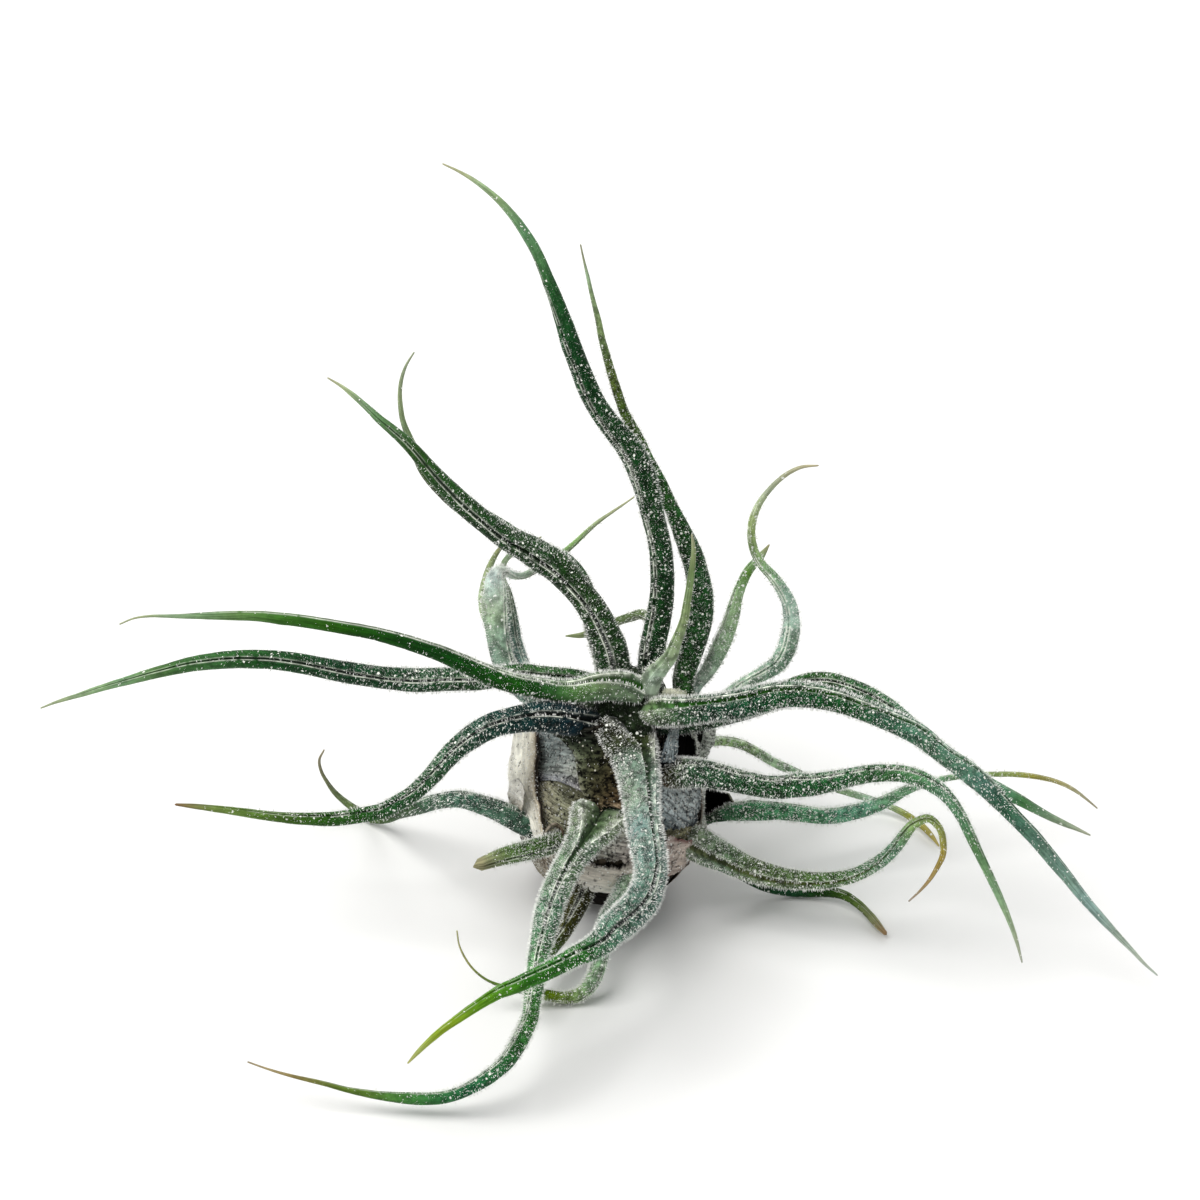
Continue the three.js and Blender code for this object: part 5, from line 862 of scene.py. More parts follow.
# where the coat of hairs is thick or thin
for name, bare in {
        "leaf_top_tall": [(0, .9), (.08, .8), (.15, .6), (.22, .7), (.3, 1.0), (.48, 1.05), (.56, .6), (.7, .6), (.8, .8), (1, .3)],
        "leaf_left_long": [(0, 1), (.2, 1.1), (.35, 1.2), (.45, .6), (.55, .35), (.7, .2), (1, .1)],
        "leaf_left_upper": [(0, 1.2), (.2, 1), (.3, .8), (.37, .35), (.5, .15), (1, .05)],
        "leaf_upper_left": [(0, 1), (.12, .8), (.25, .5), (.37, 1.1), (.48, .7), (.7, .5), (1, .3)],
        "leaf_upper_left_snaking": [(0, .8), (.3, 1.3), (.5, .6), (1, .4)],
        "leaf_right_low": [(0, 1), (.3, .4), (.6, .5), (1, .3)],
        "leaf_left_low": [(0, 1.2), (.3, 1), (.42, .4), (.6, .2), (1, .2)],
        "leaf_front_lowest": [(0, 1), (.35, 1), (.5, .55), (.7, .3), (1, .1)],
        "leaf_right_main": [(0, 1.1), (.12, 1.1), (.3, .9), (.4, .9), (.6, .9), (.7, .35), (1, .1)],
        "leaf_right_behind": [(0, .8), (.4, .6), (.55, 1), (.7, .6), (1, .3)],
        "leaf_right_middle": [(0, 1), (.12, 1.1), (.25, .8), (.4, .8), (.6, 1.1), (.75, .4), (1, .1)]}.items():
    LOOK[name]["bare"] = bare
LOOK["leaf_left_upper"]["calm"] = [(0, .6), (.2, .4), (.4, .25), (1, .1)]
LOOK["leaf_upper_left"]["open"] = [(0, 14), (.1, 8), (.3, 7), (.45, 10), (.8, 8), (1, 8)]
LOOK["leaf_top_tall"]["open"] = [(0, 12), (.1, 6), (.5, 6), (1, 7)]
LOOK["leaf_right_main"]["vivid"] = [(0, 1.2), (.4, 1.2), (.6, 1.0), (.75, .8), (1, .7)]
LOOK["leaf_right_open_sheath"]["vivid"] = [(0, .95), (1, .9)]
LOOK["leaf_front_hanging"]["vivid"] = [(0, .9), (.5, .9), (.6, 1.15), (.8, 1.1), (1, 1)]
LOOK["leaf_front_lowest"]["vivid"] = [(0, .75), (.2, .9), (.45, 1.15), (.8, 1), (1, .9)]
LOOK["leaf_trimmed_short"]["vivid"] = [(0, 1), (.7, .9), (1, .8)]
LOOK["leaf_right_hooked"]["vivid"] = [(0, .95), (.6, 1), (1, .9)]
LOOK["leaf_trimmed_short"]["tone"] = "0 6c7a50, .3 56783c, .7 6a8444, .88 8c9468, 1 98906c"
LOOK["leaf_left_arched"]["bare"] = [(0, .08), (.1, .16), (.2, .5), (.4, .8), (1, .8)]
LOOK["leaf_left_upper"]["bare"] = [(0, 1.2), (.2, 1.3), (.3, 1.1), (.37, .4), (.5, .15), (1, .05)]
for name in ("leaf_right_s_curved", "leaf_right_pale", "leaf_back_left_narrow", "leaf_back_left_thin"):
    LOOK[name].update(dust=.5, hair=5.0)
LOOK["leaf_right_s_curved"]["vivid"] = [(0, .7), (.5, .75), (.7, 1), (1, 1)]
LOOK["leaf_right_pale"]["vivid"] = [(0, .7), (.6, .8), (.8, 1), (1, 1)]
LOOK["leaf_back_curl"].update(vivid=[(0, .7), (1, .75)], frost=.16, hair=2.4)
LOOK["leaf_left_low"]["bare"] = [(0, .9), (.3, .7), (.42, .3), (.6, .2), (1, .2)]
LOOK["leaf_left_long"].update(open=[(0, 11), (.12, 8), (.3, 6.5), (1, 8)], deep=[(0, .22), (.2, .3), (.4, .45), (.75, .3), (1, .08)])
LOOK["leaf_front_hanging"].update(hair=6.5, frost=.17, dust=.16, shade=[(0, .7), (.45, .74), (.7, .85), (.9, 1)])
LOOK["leaf_front_lowest"].update(hair=7.0, frost=.24, dust=.18)
LOOK["leaf_front_hook"].update(hair=7.0, frost=.28)
LOOK["leaf_back_left_narrow"]["lips"] = (1, 1)
LOOK["leaf_back_left_pale_hook"]["brim"] = .42
LOOK["leaf_right_s_curved"]["brim"] = .24
LOOK["leaf_left_upper"].update(brim=.26, lips=(.7, 1))
LOOK["leaf_right_main"]["brim"] = .22
LOOK["leaf_top_behind"]["bare"] = [(0, 1), (.45, 1), (.55, 1.9), (.78, 1.9), (1, .5)]
LOOK["leaf_top_behind"]["calm"] = [(0, 1), (.7, .9), (1, .2)]
LOOK["leaf_right_main"].update(inner="2a5c14", lips=(.2, 1.0))
LOOK["leaf_right_s_curved"].update(turn=[(0, -18), (.3, -22), (.5, -28), (.8, -40), (1, -40)], lips=(1, 1))
LOOK["leaf_right_hooked"].update(turn=[(0, 20), (.3, 24), (.5, 5), (.7, -40), (1, -60)], open=[(0, 18), (.1, 17), (.3, 15), (.6, 10), (1, 9)],
                                 deep=[(0, .3), (.4, .26), (1, .1)], inner="4a4c1c", lips=(.3, .9), rim=.6)
LOOK["leaf_right_main"]["deep"] = [(0, .12), (.05, .25), (.1, .38), (.4, .36), (.8, .28), (1, .1)]
LOOK["leaf_young_centre"]["vivid"] = [(0, .8), (1, .85)]
for name in ("leaf_back_left_pale_hook", "leaf_back_left_narrow", "leaf_right_s_curved"):
    LOOK[name].update(deep=[(0, .14), (1, .08)], rim=1.0)
for name in ("leaf_young_centre", "leaf_right_pale", "leaf_right_s_curved", "leaf_back_left_pale_hook", "leaf_back_left_narrow",
             "leaf_back_left_thin", "leaf_right_thin"):
    LOOK[name]["cast"] = (1.0, 0.99, 0.99)
LOOK["leaf_back_left_pale_hook"].update(dust=.02, frost=.4, cast=(1.08, 1.04, 1.06))
LOOK["leaf_right_main"].update(open=[(0, 30), (.05, 20), (.12, 13), (.3, 11), (.6, 10), (1, 9)], fuzz=.1)
LOOK["leaf_front_hanging"]["bare"] = [(0, 1), (.62, 1), (.74, .5), (.84, .12), (1, 0)]
LOOK["leaf_front_lowest"]["bare"] = [(0, 1), (.5, 1), (.66, .5), (.8, .25), (1, .1)]
LOOK["leaf_front_hanging"]["calm"] = [(0, 1), (.55, .9), (.7, .45), (.82, .12), (1, .02)]
LOOK["leaf_front_lowest"]["calm"] = [(0, 1), (.5, .85), (.65, .5), (.8, .3), (1, .1)]
for name in LEAVES:
    leaf(name)


# ---- bulb ----
def bulb_radius(z, out=0.0):
    u = np.clip((z - 14.3) / (15 + out), -1, 1)
    rnd = (12.9 + out) * np.sqrt(np.maximum(0, 1 - u * u))
    k = np.clip((z - 21) / 8.2, 0, 1)
    return np.where(z > 21, np.maximum(rnd * (1 - 0.12 * k), (6.4 + out) * 0.95), rnd)


def core():
    """Inner sheaths: a ribbed bulb, its dull brown painted much darker as the shade in the crevices between the outer
    sheaths, with a flat, brown, trimmed underside.
    """
    nz, na = 150, 260
    t = np.linspace(0, 1, nz)
    z = 29.2 * np.sin(t * np.pi / 2) ** 1.15
    r = bulb_radius(z)
    prof_r = np.concatenate([np.linspace(0.05, r[0], 12)[:-1], r, np.linspace(r[-1], 3.84, 6)[1:], np.linspace(3.84, 0.05, 8)[1:]])
    prof_z = np.concatenate([np.zeros(11), z, np.linspace(29.2, 30.5, 6)[1:], np.linspace(30.5, 30.9, 8)[1:]])
    az = np.linspace(0, 2 * np.pi, na, endpoint=False)
    R, A = np.meshgrid(prof_r, az, indexing="ij")
    Z = np.repeat(prof_z[:, None], na, 1)
    p = np.stack([R * np.cos(A), R * np.sin(A), Z], -1)
    fib = np.stack([A * 9.0, Z * 0.12, 0 * Z], -1)
    per = np.stack([np.cos(A) * 4.2, np.sin(A) * 4.2, Z * 0.1], -1)
    rib = cloud(per, 2.4, 3, 3) - 0.5
    inset = -0.35 * np.abs(rib) * 2 * step(R, 1.0, 5.0)
    under = (Z < 0.02)
    p[..., 0] += np.where(under, 0, inset * np.cos(A))
    p[..., 1] += np.where(under, 0, inset * np.sin(A))
    ringy = 0.25 * cloud(np.stack([R * 1.1, A * 0.5, 0 * R], -1), 1.0, 3, 8) * step(R, 0.2, 1.0)
    p[..., 2] = np.where(under & (R < r[0] * 0.9), ringy * 0.9, p[..., 2])
    n, m = Z.shape
    i, j = np.meshgrid(np.arange(n - 1), np.arange(m), indexing="ij")
    j2 = (j + 1) % m
    quads = np.stack([i * m + j, i * m + j2, (i + 1) * m + j2, (i + 1) * m + j], -1).reshape(-1, 4)
    tone = cloud(per, 1.3, 4, 5)[..., None]
    col = srgb("6b6152") * (0.35 + 0.9 * tone)
    # painted shade: the core is darkened to about half, and to under a third above 22 mm where the leaves crowd over
    # it, so the gaps between sheaths read as deep crevices
    col = np.where((Z > 22)[..., None], col * 0.30, col * 0.55)
    low = step(6 - Z, 0, 6)[..., None]
    col = col * (1 - 0.5 * low) + srgb("4a3524") * 0.5 * low
    frost = 0.12 * step(Z, 8, 12)
    verts = p.reshape(-1, 3)
    k = np.arange(m)
    verts = np.vstack([verts, [0, 0, p[0, 0, 2]], [0, 0, 30.92]])
    caps = np.vstack([np.stack([np.full(m, n * m), (k + 1) % m, k], 1),
                      np.stack([np.full(m, n * m + 1), (n - 1) * m + k, (n - 1) * m + (k + 1) % m], 1)])
    tint = np.vstack([col.reshape(-1, 3), col[0, :1], col[-1, :1]])
    make("bulb_core_fine", verts, [quads, caps], M_CORE, tint, np.concatenate([frost.ravel(), [0, 0]]),
         np.vstack([fib.reshape(-1, 3), fib[0, :1], fib[-1, :1]]), "bulb_core")


core()


def edge_line(points, t):
    """Azimuth and height along an edge given as (azimuth, height) from foot to top."""
    p = np.array(points, float)
    d = np.concatenate([[0], np.cumsum(np.hypot(np.diff(p[:, 0]) * 0.22, np.diff(p[:, 1])))])
    d /= d[-1]
    a, z = np.interp(t, d, p[:, 0]), np.interp(t, d, p[:, 1])
    return smooth_rows(a[:, None], 12)[:, 0], smooth_rows(z[:, None], 12)[:, 0]


def panel(name, left, right, off, tone, node=None, thick=0.22, curl=(0, 0, 0, 0), ragged=(.3, .3, .3, .3), streak=(1.0, 0.12),
          angle=0.0, blotch=0.35, edge="4e3b2b", edges=(.0, .0, .0, .0), frost=0.3, crease=0.22, nu=96, nt=110, hair=0.0,
          slot="dry_sheath", tone_v=None, material=None, bend=0.0):
    """A papery sheath bent round the bulb. left and right are its edges (azimuth, height) from foot to top; off is how far it
    stands off the bulb, or (foot, top); curl lifts the (left, right, top, foot) edges; edges darkens them."""
    seed = seed_of(name)
    u, t = np.linspace(0, 1, nu), np.linspace(0, 1, nt)
    la, lz = edge_line(left, t)
    ra, rz = edge_line(right, t)
    U, T = np.meshgrid(u, t, indexing="xy")
    A = la[:, None] * (1 - U) + ra[:, None] * U
    Z = lz[:, None] * (1 - U) + rz[:, None] * U + bend * np.sin(np.pi * U)
    span_a = np.abs(ra - la)[:, None]
    # torn edges
    e1 = cloud(np.stack([T * 16, 0 * T, 0 * T + 1], -1), 1.0, 4, seed) - 0.5
    e2 = cloud(np.stack([T * 16, 0 * T, 0 * T + 5], -1), 1.0, 4, seed + 3) - 0.5
    e3 = cloud(np.stack([U * 14, 0 * T, 0 * T + 9], -1), 1.0, 4, seed + 6) - 0.5
    e4 = cloud(np.stack([U * 14, 0 * T, 0 * T + 13], -1), 1.0, 4, seed + 9) - 0.5
    A = A - e1 * ragged[0] * 9 * step(1 - U, 0.75, 1) + e2 * ragged[1] * 9 * step(U, 0.75, 1)
    Z = Z + e3 * ragged[2] * 2.4 * step(T, 0.75, 1) - e4 * ragged[3] * 2.4 * step(1 - T, 0.75, 1)
    Z = np.maximum(Z, 0.35)
    foot, top = off if isinstance(off, tuple) else (off, off)
    out = foot + (top - foot) * T
    out = out + curl[0] * step(1 - U, 0.7, 1) ** 1.5 + curl[1] * step(U, 0.7, 1) ** 1.5 + curl[2] * step(T, 0.72, 1) ** 1.5 + curl[3] * step(1 - T, 0.72, 1) ** 1.5
    Rm = bulb_radius(Z, 0.0)
    x, y = np.radians(A) * 12.5, Z
    ca, sa = math.cos(math.radians(angle)), math.sin(math.radians(angle))
    gx, gy = x * ca + y * sa, -x * sa + y * ca      # gy runs along the fibres
    g = np.stack([gx * streak[0], gy * streak[1], 0 * gx + seed % 13], -1)
    fibre = cloud(g, 2.2, 4, seed + 1) - 0.5
    wave = cloud(np.stack([gx * 0.35, gy * 0.09, 0 * gx], -1), 1.0, 3, seed + 2) - 0.5
    out = out + crease * (wave * 2.2 + fibre * 0.5)
    ar = np.radians(A)
    r = Rm + np.maximum(out, 0.12)
    outer = np.stack([r * np.cos(ar), r * np.sin(ar), Z], -1)
    th = thick * (0.35 + 0.65 * np.minimum(1, np.minimum(np.minimum(U, 1 - U), np.minimum(T, 1 - T)) / 0.06))
    ri = r - th
    inner = np.stack([ri * np.cos(ar), ri * np.sin(ar), Z], -1)
    verts = np.concatenate([outer.reshape(-1, 3), inner.reshape(-1, 3)])
    N = nt * nu
    i, j = np.meshgrid(np.arange(nt - 1), np.arange(nu - 1), indexing="ij")
    a, b, c, d = i * nu + j, i * nu + j + 1, (i + 1) * nu + j + 1, (i + 1) * nu + j
    flip = np.mean(ra - la) < 0
    quad = np.stack([a, b, c, d] if not flip else [a, d, c, b], -1).reshape(-1, 4)
    back = quad[:, ::-1] + N
    loop = np.concatenate([np.arange(nu), np.arange(1, nt) * nu + nu - 1, (nt - 1) * nu + np.arange(nu - 2, -1, -1), np.arange(nt - 2, 0, -1) * nu])
    nx = np.roll(loop, -1)
    wall = np.stack([loop, loop + N, nx + N, nx] if not flip else [loop, nx, nx + N, loop + N], -1)
    # colour
    if tone_v is not None:
        base = ramp(tone, U) * 0.5 + ramp(tone_v, T) * 0.5
    else:
        base = ramp(tone, U)
    slow = cloud(np.stack([x * 0.22, y * 0.22, 0 * x], -1), 1.0, 4, seed + 12)[..., None]
    base = base * (1 - blotch + 2 * blotch * slow)
    fine = cloud(g, 4.0, 3, seed + 15)[..., None]
    base = base * (0.72 + 0.56 * fine)
    spots = cloud(np.stack([x * 1.3, y * 1.3, 0 * x], -1), 1.0, 3, seed + 18)
    base = base * (1 - 0.65 * step(spots, 0.62, 0.75))[..., None]
    # darkened edges: dried brown with the default edge colour; where a call gives a near-black edge colour it is
    # painted shade of the crevice beside the sheath
    dark = np.clip(edges[0] * step(1 - U, 0.82, 1) + edges[1] * step(U, 0.82, 1) + edges[2] * step(T, 0.85, 1) + edges[3] * step(1 - T, 0.85, 1), 0, 1)
    dark = dark * step(cloud(np.stack([x * 0.8, y * 0.8, 0 * x + 4], -1), 1.0, 3, seed + 20), 0.25, 0.55)
    base = base * (1 - dark[..., None]) + srgb(edge) * dark[..., None]
    fr = frost * (0.5 + cloud(np.stack([x * 0.5, y * 0.5, 0 * x], -1), 1.0, 2, seed + 25)) * (1 - 0.7 * dark)
    tint = np.concatenate([base.reshape(-1, 3), base.reshape(-1, 3) * 0.55])
    fro = np.concatenate([fr.ravel(), fr.ravel() * 0.3])
    gr = np.concatenate([(g * 1.6).reshape(-1, 3)] * 2)
    ob = make(name, verts, [quad, back, wall], material or M_SHEATH, tint, fro, gr, node)
    if hair > 0:
        dens = 0.55 * hair * (0.5 + cloud(np.stack([x * 0.6, y * 0.6, 0 * x], -1), 1.0, 2, seed + 28))
        grid = outer if not flip else outer[:, ::-1]
        up = unit(np.gradient(grid, axis=0))
        hairs(name + "_hairs", grid, up, dens, seed, 0.8, wrap=False)
    return ob


# where a point of the view (pixels of a 1200 frame) meets the bulb
EYE = np.array([-1.5, -475.03, 382.66])
AHEAD, UPWARD = np.array([0, 0.8192, -0.5736]), np.array([0, 0.5736, 0.8192])


def sight(cx, cy):
    px, py = 480 + cx * 0.186667, 620 + cy * 0.186667
    return unit(np.array([(px - 600) / 4200, 0, 0]) + UPWARD * (600 - py) / 4200 + AHEAD)


def on_bulb(cx, cy, out):
    s = np.arange(560, 640, 0.02)[:, None]
    for k in range(80):
        p = EYE + s * sight(cx + (4 * k if cx < 700 else -4 * k), cy)
        hit = (np.hypot(p[:, 0], p[:, 1]) <= bulb_radius(p[:, 2], out)) & (p[:, 2] <= 31.5) & (p[:, 2] >= -0.5)
        if hit.any():
            q = p[np.argmax(hit)]
            return math.degrees(math.atan2(q[1], q[0])), q[2]
    return 0.0, 15.0


def at_depth(cx, cy, y):
    """The point in the view line of (cx, cy) whose y is given."""
    r = sight(cx, cy)
    return EYE + r * (y - EYE[1]) / r[1]


def patch(name, left, right, off, tone, cut=60, **kw):
    """A panel whose edges are given in the view, foot to top."""
    o = sum(off) / 2 if isinstance(off, tuple) else off
    sides = []
    for pts in (left, right):
        rows = [on_bulb(*q, o) for q in pts]
        sides.append([(a - 360 if a > cut else a, z) for a, z in rows])
    return panel(name, sides[0], sides[1], off, tone, **kw)


def sheet(name, rows, tone, thick=0.25, nt=70, nu=60, rough=0.12, node=None, back=0.55, frost=0.3, hair=0.0, lines=(6.0, 0.5),
          seed=None, tone_v=None, ragged=0.0, dark_back=None, material=None):
    """A papery sheet through rows of points (mm); the tone runs along the rows, tone_v from row to row."""
    seed = seed_of(name) if seed is None else seed
    g = np.array(rows, float)

    def fine(a, n, axis):
        a = np.moveaxis(a, axis, 0)
        m = len(a)
        q = np.concatenate([2 * a[:1] - a[1:2], a, 2 * a[-1:] - a[-2:-1]])
        x = np.linspace(0, m - 1, n)
        i = np.minimum(x.astype(int), m - 2)
        t = (x - i).reshape(-1, *([1] * (a.ndim - 1)))
        r = 0.5 * (2 * q[i + 1] + (q[i + 2] - q[i]) * t + (2 * q[i] - 5 * q[i + 1] + 4 * q[i + 2] - q[i + 3]) * t ** 2
                   + (3 * q[i + 1] - q[i] - 3 * q[i + 2] + q[i + 3]) * t ** 3)
        return np.moveaxis(r, 0, axis)
    g = fine(fine(g, nt, 0), nu, 1)
    U, T = np.meshgrid(np.linspace(0, 1, nu), np.linspace(0, 1, nt))
    nrm = unit(np.cross(np.gradient(g, axis=1), np.gradient(g, axis=0)))
    turned = (nrm @ VIEW).mean() < 0
    if turned:
        nrm = -nrm
    if ragged:
        e = cloud(np.stack([T * 14, U * 14, 0 * T], -1), 1.0, 3, seed + 4) - 0.5
        rim = np.maximum(step(np.abs(U - 0.5), 0.4, 0.5), step(np.abs(T - 0.5), 0.4, 0.5))
        g = g + (e * rim * ragged)[..., None] * unit(np.gradient(g, axis=0) + np.gradient(g, axis=1))
    w = cloud(np.stack([U * lines[0], T * lines[1] * 6, 0 * U + 3], -1), 1.0, 4, seed) - 0.5
    g = g + nrm * (w * rough * 2)[..., None]
    N = nt * nu
    th = thick * (0.3 + 0.7 * np.minimum(1, np.minimum(np.minimum(U, 1 - U), np.minimum(T, 1 - T)) / 0.08))[..., None]
    verts = np.concatenate([g.reshape(-1, 3), (g - nrm * th).reshape(-1, 3)])
    i, j = np.meshgrid(np.arange(nt - 1), np.arange(nu - 1), indexing="ij")
    a, b, c, d = i * nu + j, i * nu + j + 1, (i + 1) * nu + j + 1, (i + 1) * nu + j
    quad = np.stack([a, b, c, d], -1).reshape(-1, 4)
    loop = np.concatenate([np.arange(nu), np.arange(1, nt) * nu + nu - 1, (nt - 1) * nu + np.arange(nu - 2, -1, -1), np.arange(nt - 2, 0, -1) * nu])
    nx = np.roll(loop, -1)
    wall = np.stack([loop, loop + N, nx + N, nx], -1)
    if turned:
        quad, wall = quad[:, ::-1], wall[:, ::-1]
    base = ramp(tone, U)
    if tone_v:
        base = base * 0.5 + ramp(tone_v, T) * 0.5
    x = g * 1.0
    base = base * (0.7 + 0.6 * cloud(x, 0.5, 3, seed + 7))[..., None]
    base = base * (0.7 + 0.6 * cloud(np.stack([U * lines[0] * 4, T * lines[1] * 8, 0 * U], -1), 1.0, 3, seed + 8))[..., None]
    rear = base * back if dark_back is None else np.ones_like(base) * srgb(dark_back)
    fr = frost * (0.5 + cloud(x, 0.6, 2, seed + 9))
    grain = np.stack([U * lines[0] * 3, T * lines[1] * 4, 0 * U + seed % 11], -1)
    ob = make(name, verts, [quad, quad[:, ::-1] + N, wall], material or M_SHEATH, np.concatenate([base.reshape(-1, 3), rear.reshape(-1, 3)]),
              np.concatenate([fr.ravel(), fr.ravel() * 0.2]), np.concatenate([grain.reshape(-1, 3)] * 2), node)
    if hair > 0:
        gg = g[:, ::-1] if turned else g
        hairs(name + "_hairs", gg, unit(np.gradient(gg, axis=0)), 0.55 * hair + 0 * U, seed, 0.85, wrap=False)
    return ob


# ---- the front of the bulb, sheath by sheath ----
def seen(rows):
    """Points from (x, y, depth) in the view, (x, y, "on", how far off the bulb) or ("round", azimuth, height, how far off)."""
    out = []
    for r in rows:
        line = []
        for q in r:
            if len(q) == 4:
                a, z = (q[1], q[2]) if q[0] == "round" else on_bulb(q[0], q[1], q[3])
                a = math.radians(a)
                r0 = float(bulb_radius(np.array(z), q[3]))
                line.append(np.array([r0 * math.cos(a), r0 * math.sin(a), z]))
            else:
                line.append(at_depth(*q))
        out.append(line)
    return out


# painted shadow: the left edge of this sheath is near-black, the shadow of the proud strip of the left wrap over it
sheet("sheath_front_wide_fine", seen([
    [(312, 585, 2.5), (400, 585, -0.5), (510, 590, -4.6)],
    [(312, 690, -0.5), (420, 690, -4.2), (560, 700, -7.0)],
    [(300, 780, -2.6), (430, 785, "on", 1.3), (575, 800, "on", 1.3)],
    [(296, 858, "on", .95), (430, 868, "on", .95), (590, 945, "on", .95)]]),
    "0 0c0d0d, .05 1d201f, .11 5f6868, .22 8f9c9b, .55 99a29f, .85 6c6f60, 1 3c3a2c", node="sheath_front_wide", nt=120, nu=110, lines=(1.2, 3.4), rough=.2,
    frost=.4, hair=4, ragged=.5, tone_v="0 8f9a9c, .4 b7c1bf, .75 9a9c93, .93 8d8590, 1 6a5f6c")
patch("sheath_front_fibrous", [(400, 1170), (320, 1130), (285, 1000), (282, 770)], [(560, 1180), (570, 1060), (600, 1000), (600, 830)], 0.45,
      "0 8d8a74, .3 a39f88, .6 8f9078, 1 77755a", nu=120, nt=110, streak=(2.1, 0.14), angle=86, crease=0.16, blotch=0.55, frost=0.3, hair=3,
      edges=(.3, .2, 0, .9), edge="53402c", ragged=(.4, .3, .1, .9))
patch("sheath_front_lowleft", [(420, 1420), (330, 1340), (270, 1240), (215, 1120)], [(560, 1400), (560, 1330), (545, 1250), (520, 1130)], 0.3,
      "0 8a857c, .4 a09a8e, 1 5e594f", nu=110, nt=90, streak=(1.6, 0.16), angle=80, crease=0.25, blotch=0.5, frost=0.3, hair=2,
      edges=(.5, .6, .8, .8), edge="2c2620")
# painted shade: the far right of this wrap's tone runs from brown into near-black, the shade of the crevice between the
# wrap and the sheath beside it
sheet("sheath_left_wrap_fine", seen([
    [("round", 146, 24.0, .5), (188, 575, 3.5), (245, 575, 2.0), (306, 575, 0.5)],
    [("round", 152, 19.0, .6), (166, 690, 1.5), (240, 700, -1.0), (313, 690, -3.0)],
    [("round", 158, 14.5, .6), (150, 790, 0.2), (230, 800, -2.6), (305, 800, -5.0)],
    [("round", 168, 11.0, .6), (160, 890, -1.7), (232, 900, -4.8), (304, 900, -7.2)],
    [("round", 188, 7.5, .6), (212, 1000, -5.0), (268, 1000, -7.2), (324, 1000, -9.0)],
    [("round", 212, 5.0, .6), (262, 1100, -8.0), (300, 1100, -9.6), (340, 1100, -10.6)],
    [("round", 228, 3.2, .6), (300, 1185, -9.8), (330, 1185, -10.8), (357, 1175, -11.6)]]),
    "0 7f796a, .2 a8a294, .35 dcd9ce, .53 eceade, .77 dcd8ca, .91 c0b6a2, .95 4a4034, .975 1a1613, 1 0c0a09", node="sheath_left_wrap", thick=0.5, nt=170, nu=110, lines=(3.5, 1.4),
    rough=.3, frost=.35, hair=6, ragged=1.2, dark_back="5a5146", material=M_PAPER)
sheet("sheath_front_arched", seen([
    [(345, 592, -5.5), (430, 585, -5.8), (540, 580, -6.3), (660, 555, -6.6)],
    [(432, 640, -4.8), (520, 650, -6.4), (610, 650, -7.0), (705, 640, -6.9)],
    [(505, 730, -7.4), (590, 730, -8.3), (670, 720, -8.4), (750, 710, -8.2)],
    [(522, 840, -9.0), (610, 840, -9.9), (690, 830, -10.0), (770, 820, -9.9)],
    [(556, 945, -10.9), (630, 940, -11.4), (700, 930, -11.5), (785, 925, -11.3)],
    [(612, 1020, -11.9), (660, 1012, -12.3), (710, 1002, -12.4), (790, 1006, -12.2)]]),
    "0 8c907e, .1 5c6450, .25 3c4230, .6 2e2e1e, .85 382e20, 1 4c4432", tone_v="0 101c24, .2 1c2a26, .45 3a3c2a, .8 4a3c2a, .93 6e5a44, 1 c8b094",
    thick=0.6, nt=170, nu=120, lines=(1.4, 4.2), rough=.34, frost=.05, hair=1.5, ragged=1.4, dark_back="0c0a08", material=M_OLD)
# painted shade: the near-black edge colour, strongest at the foot, stands for the crevice under this sheath
patch("sheath_front_forked", [(600, 1262), (592, 1185), (602, 1110), (650, 1005)], [(860, 1290), (850, 1190), (830, 1080), (810, 985)], 0.85,
      "0 98a090, .3 b0b4a8, .7 aca79e, 1 8d877c", tone_v="0 a89c96, .35 bab4ae, .6 9aa492, 1 7a8468", nu=130, nt=120, streak=(1.7, 0.2), angle=74,
      crease=0.34, blotch=0.5, frost=0.34, hair=4, edges=(.3, .2, .3, .5), edge="1e1a18", ragged=(.3, .3, .5, .9), curl=(.1, 0, 0, .25))
# painted shade: the top edge and the top of the tone are near-black, the crevice under the sheath above
patch("sheath_front_low_fine", [(476, 1402), (500, 1370), (540, 1335), (570, 1310)], [(880, 1415), (875, 1385), (868, 1340), (862, 1300)], (1.6, 0.7),
      "0 c4beb2, .3 dad4ca, .7 cec7bc, 1 a9a196", node="sheath_front_low", tone_v="0 faf8f4, .2 ece8e0, .45 c9c2b6, .75 a9a196, 1 4a443c", nu=150, nt=90,
      streak=(1.5, 0.22), angle=82, crease=0.32, blotch=0.45, frost=0.3, hair=2, edges=(.3, .3, .8, 0), edge="1d1917", ragged=(.3, .3, .8, .25),
      thick=0.5, curl=(0, 0, 0.1, .1), bend=-0.5, material=M_PAPER)
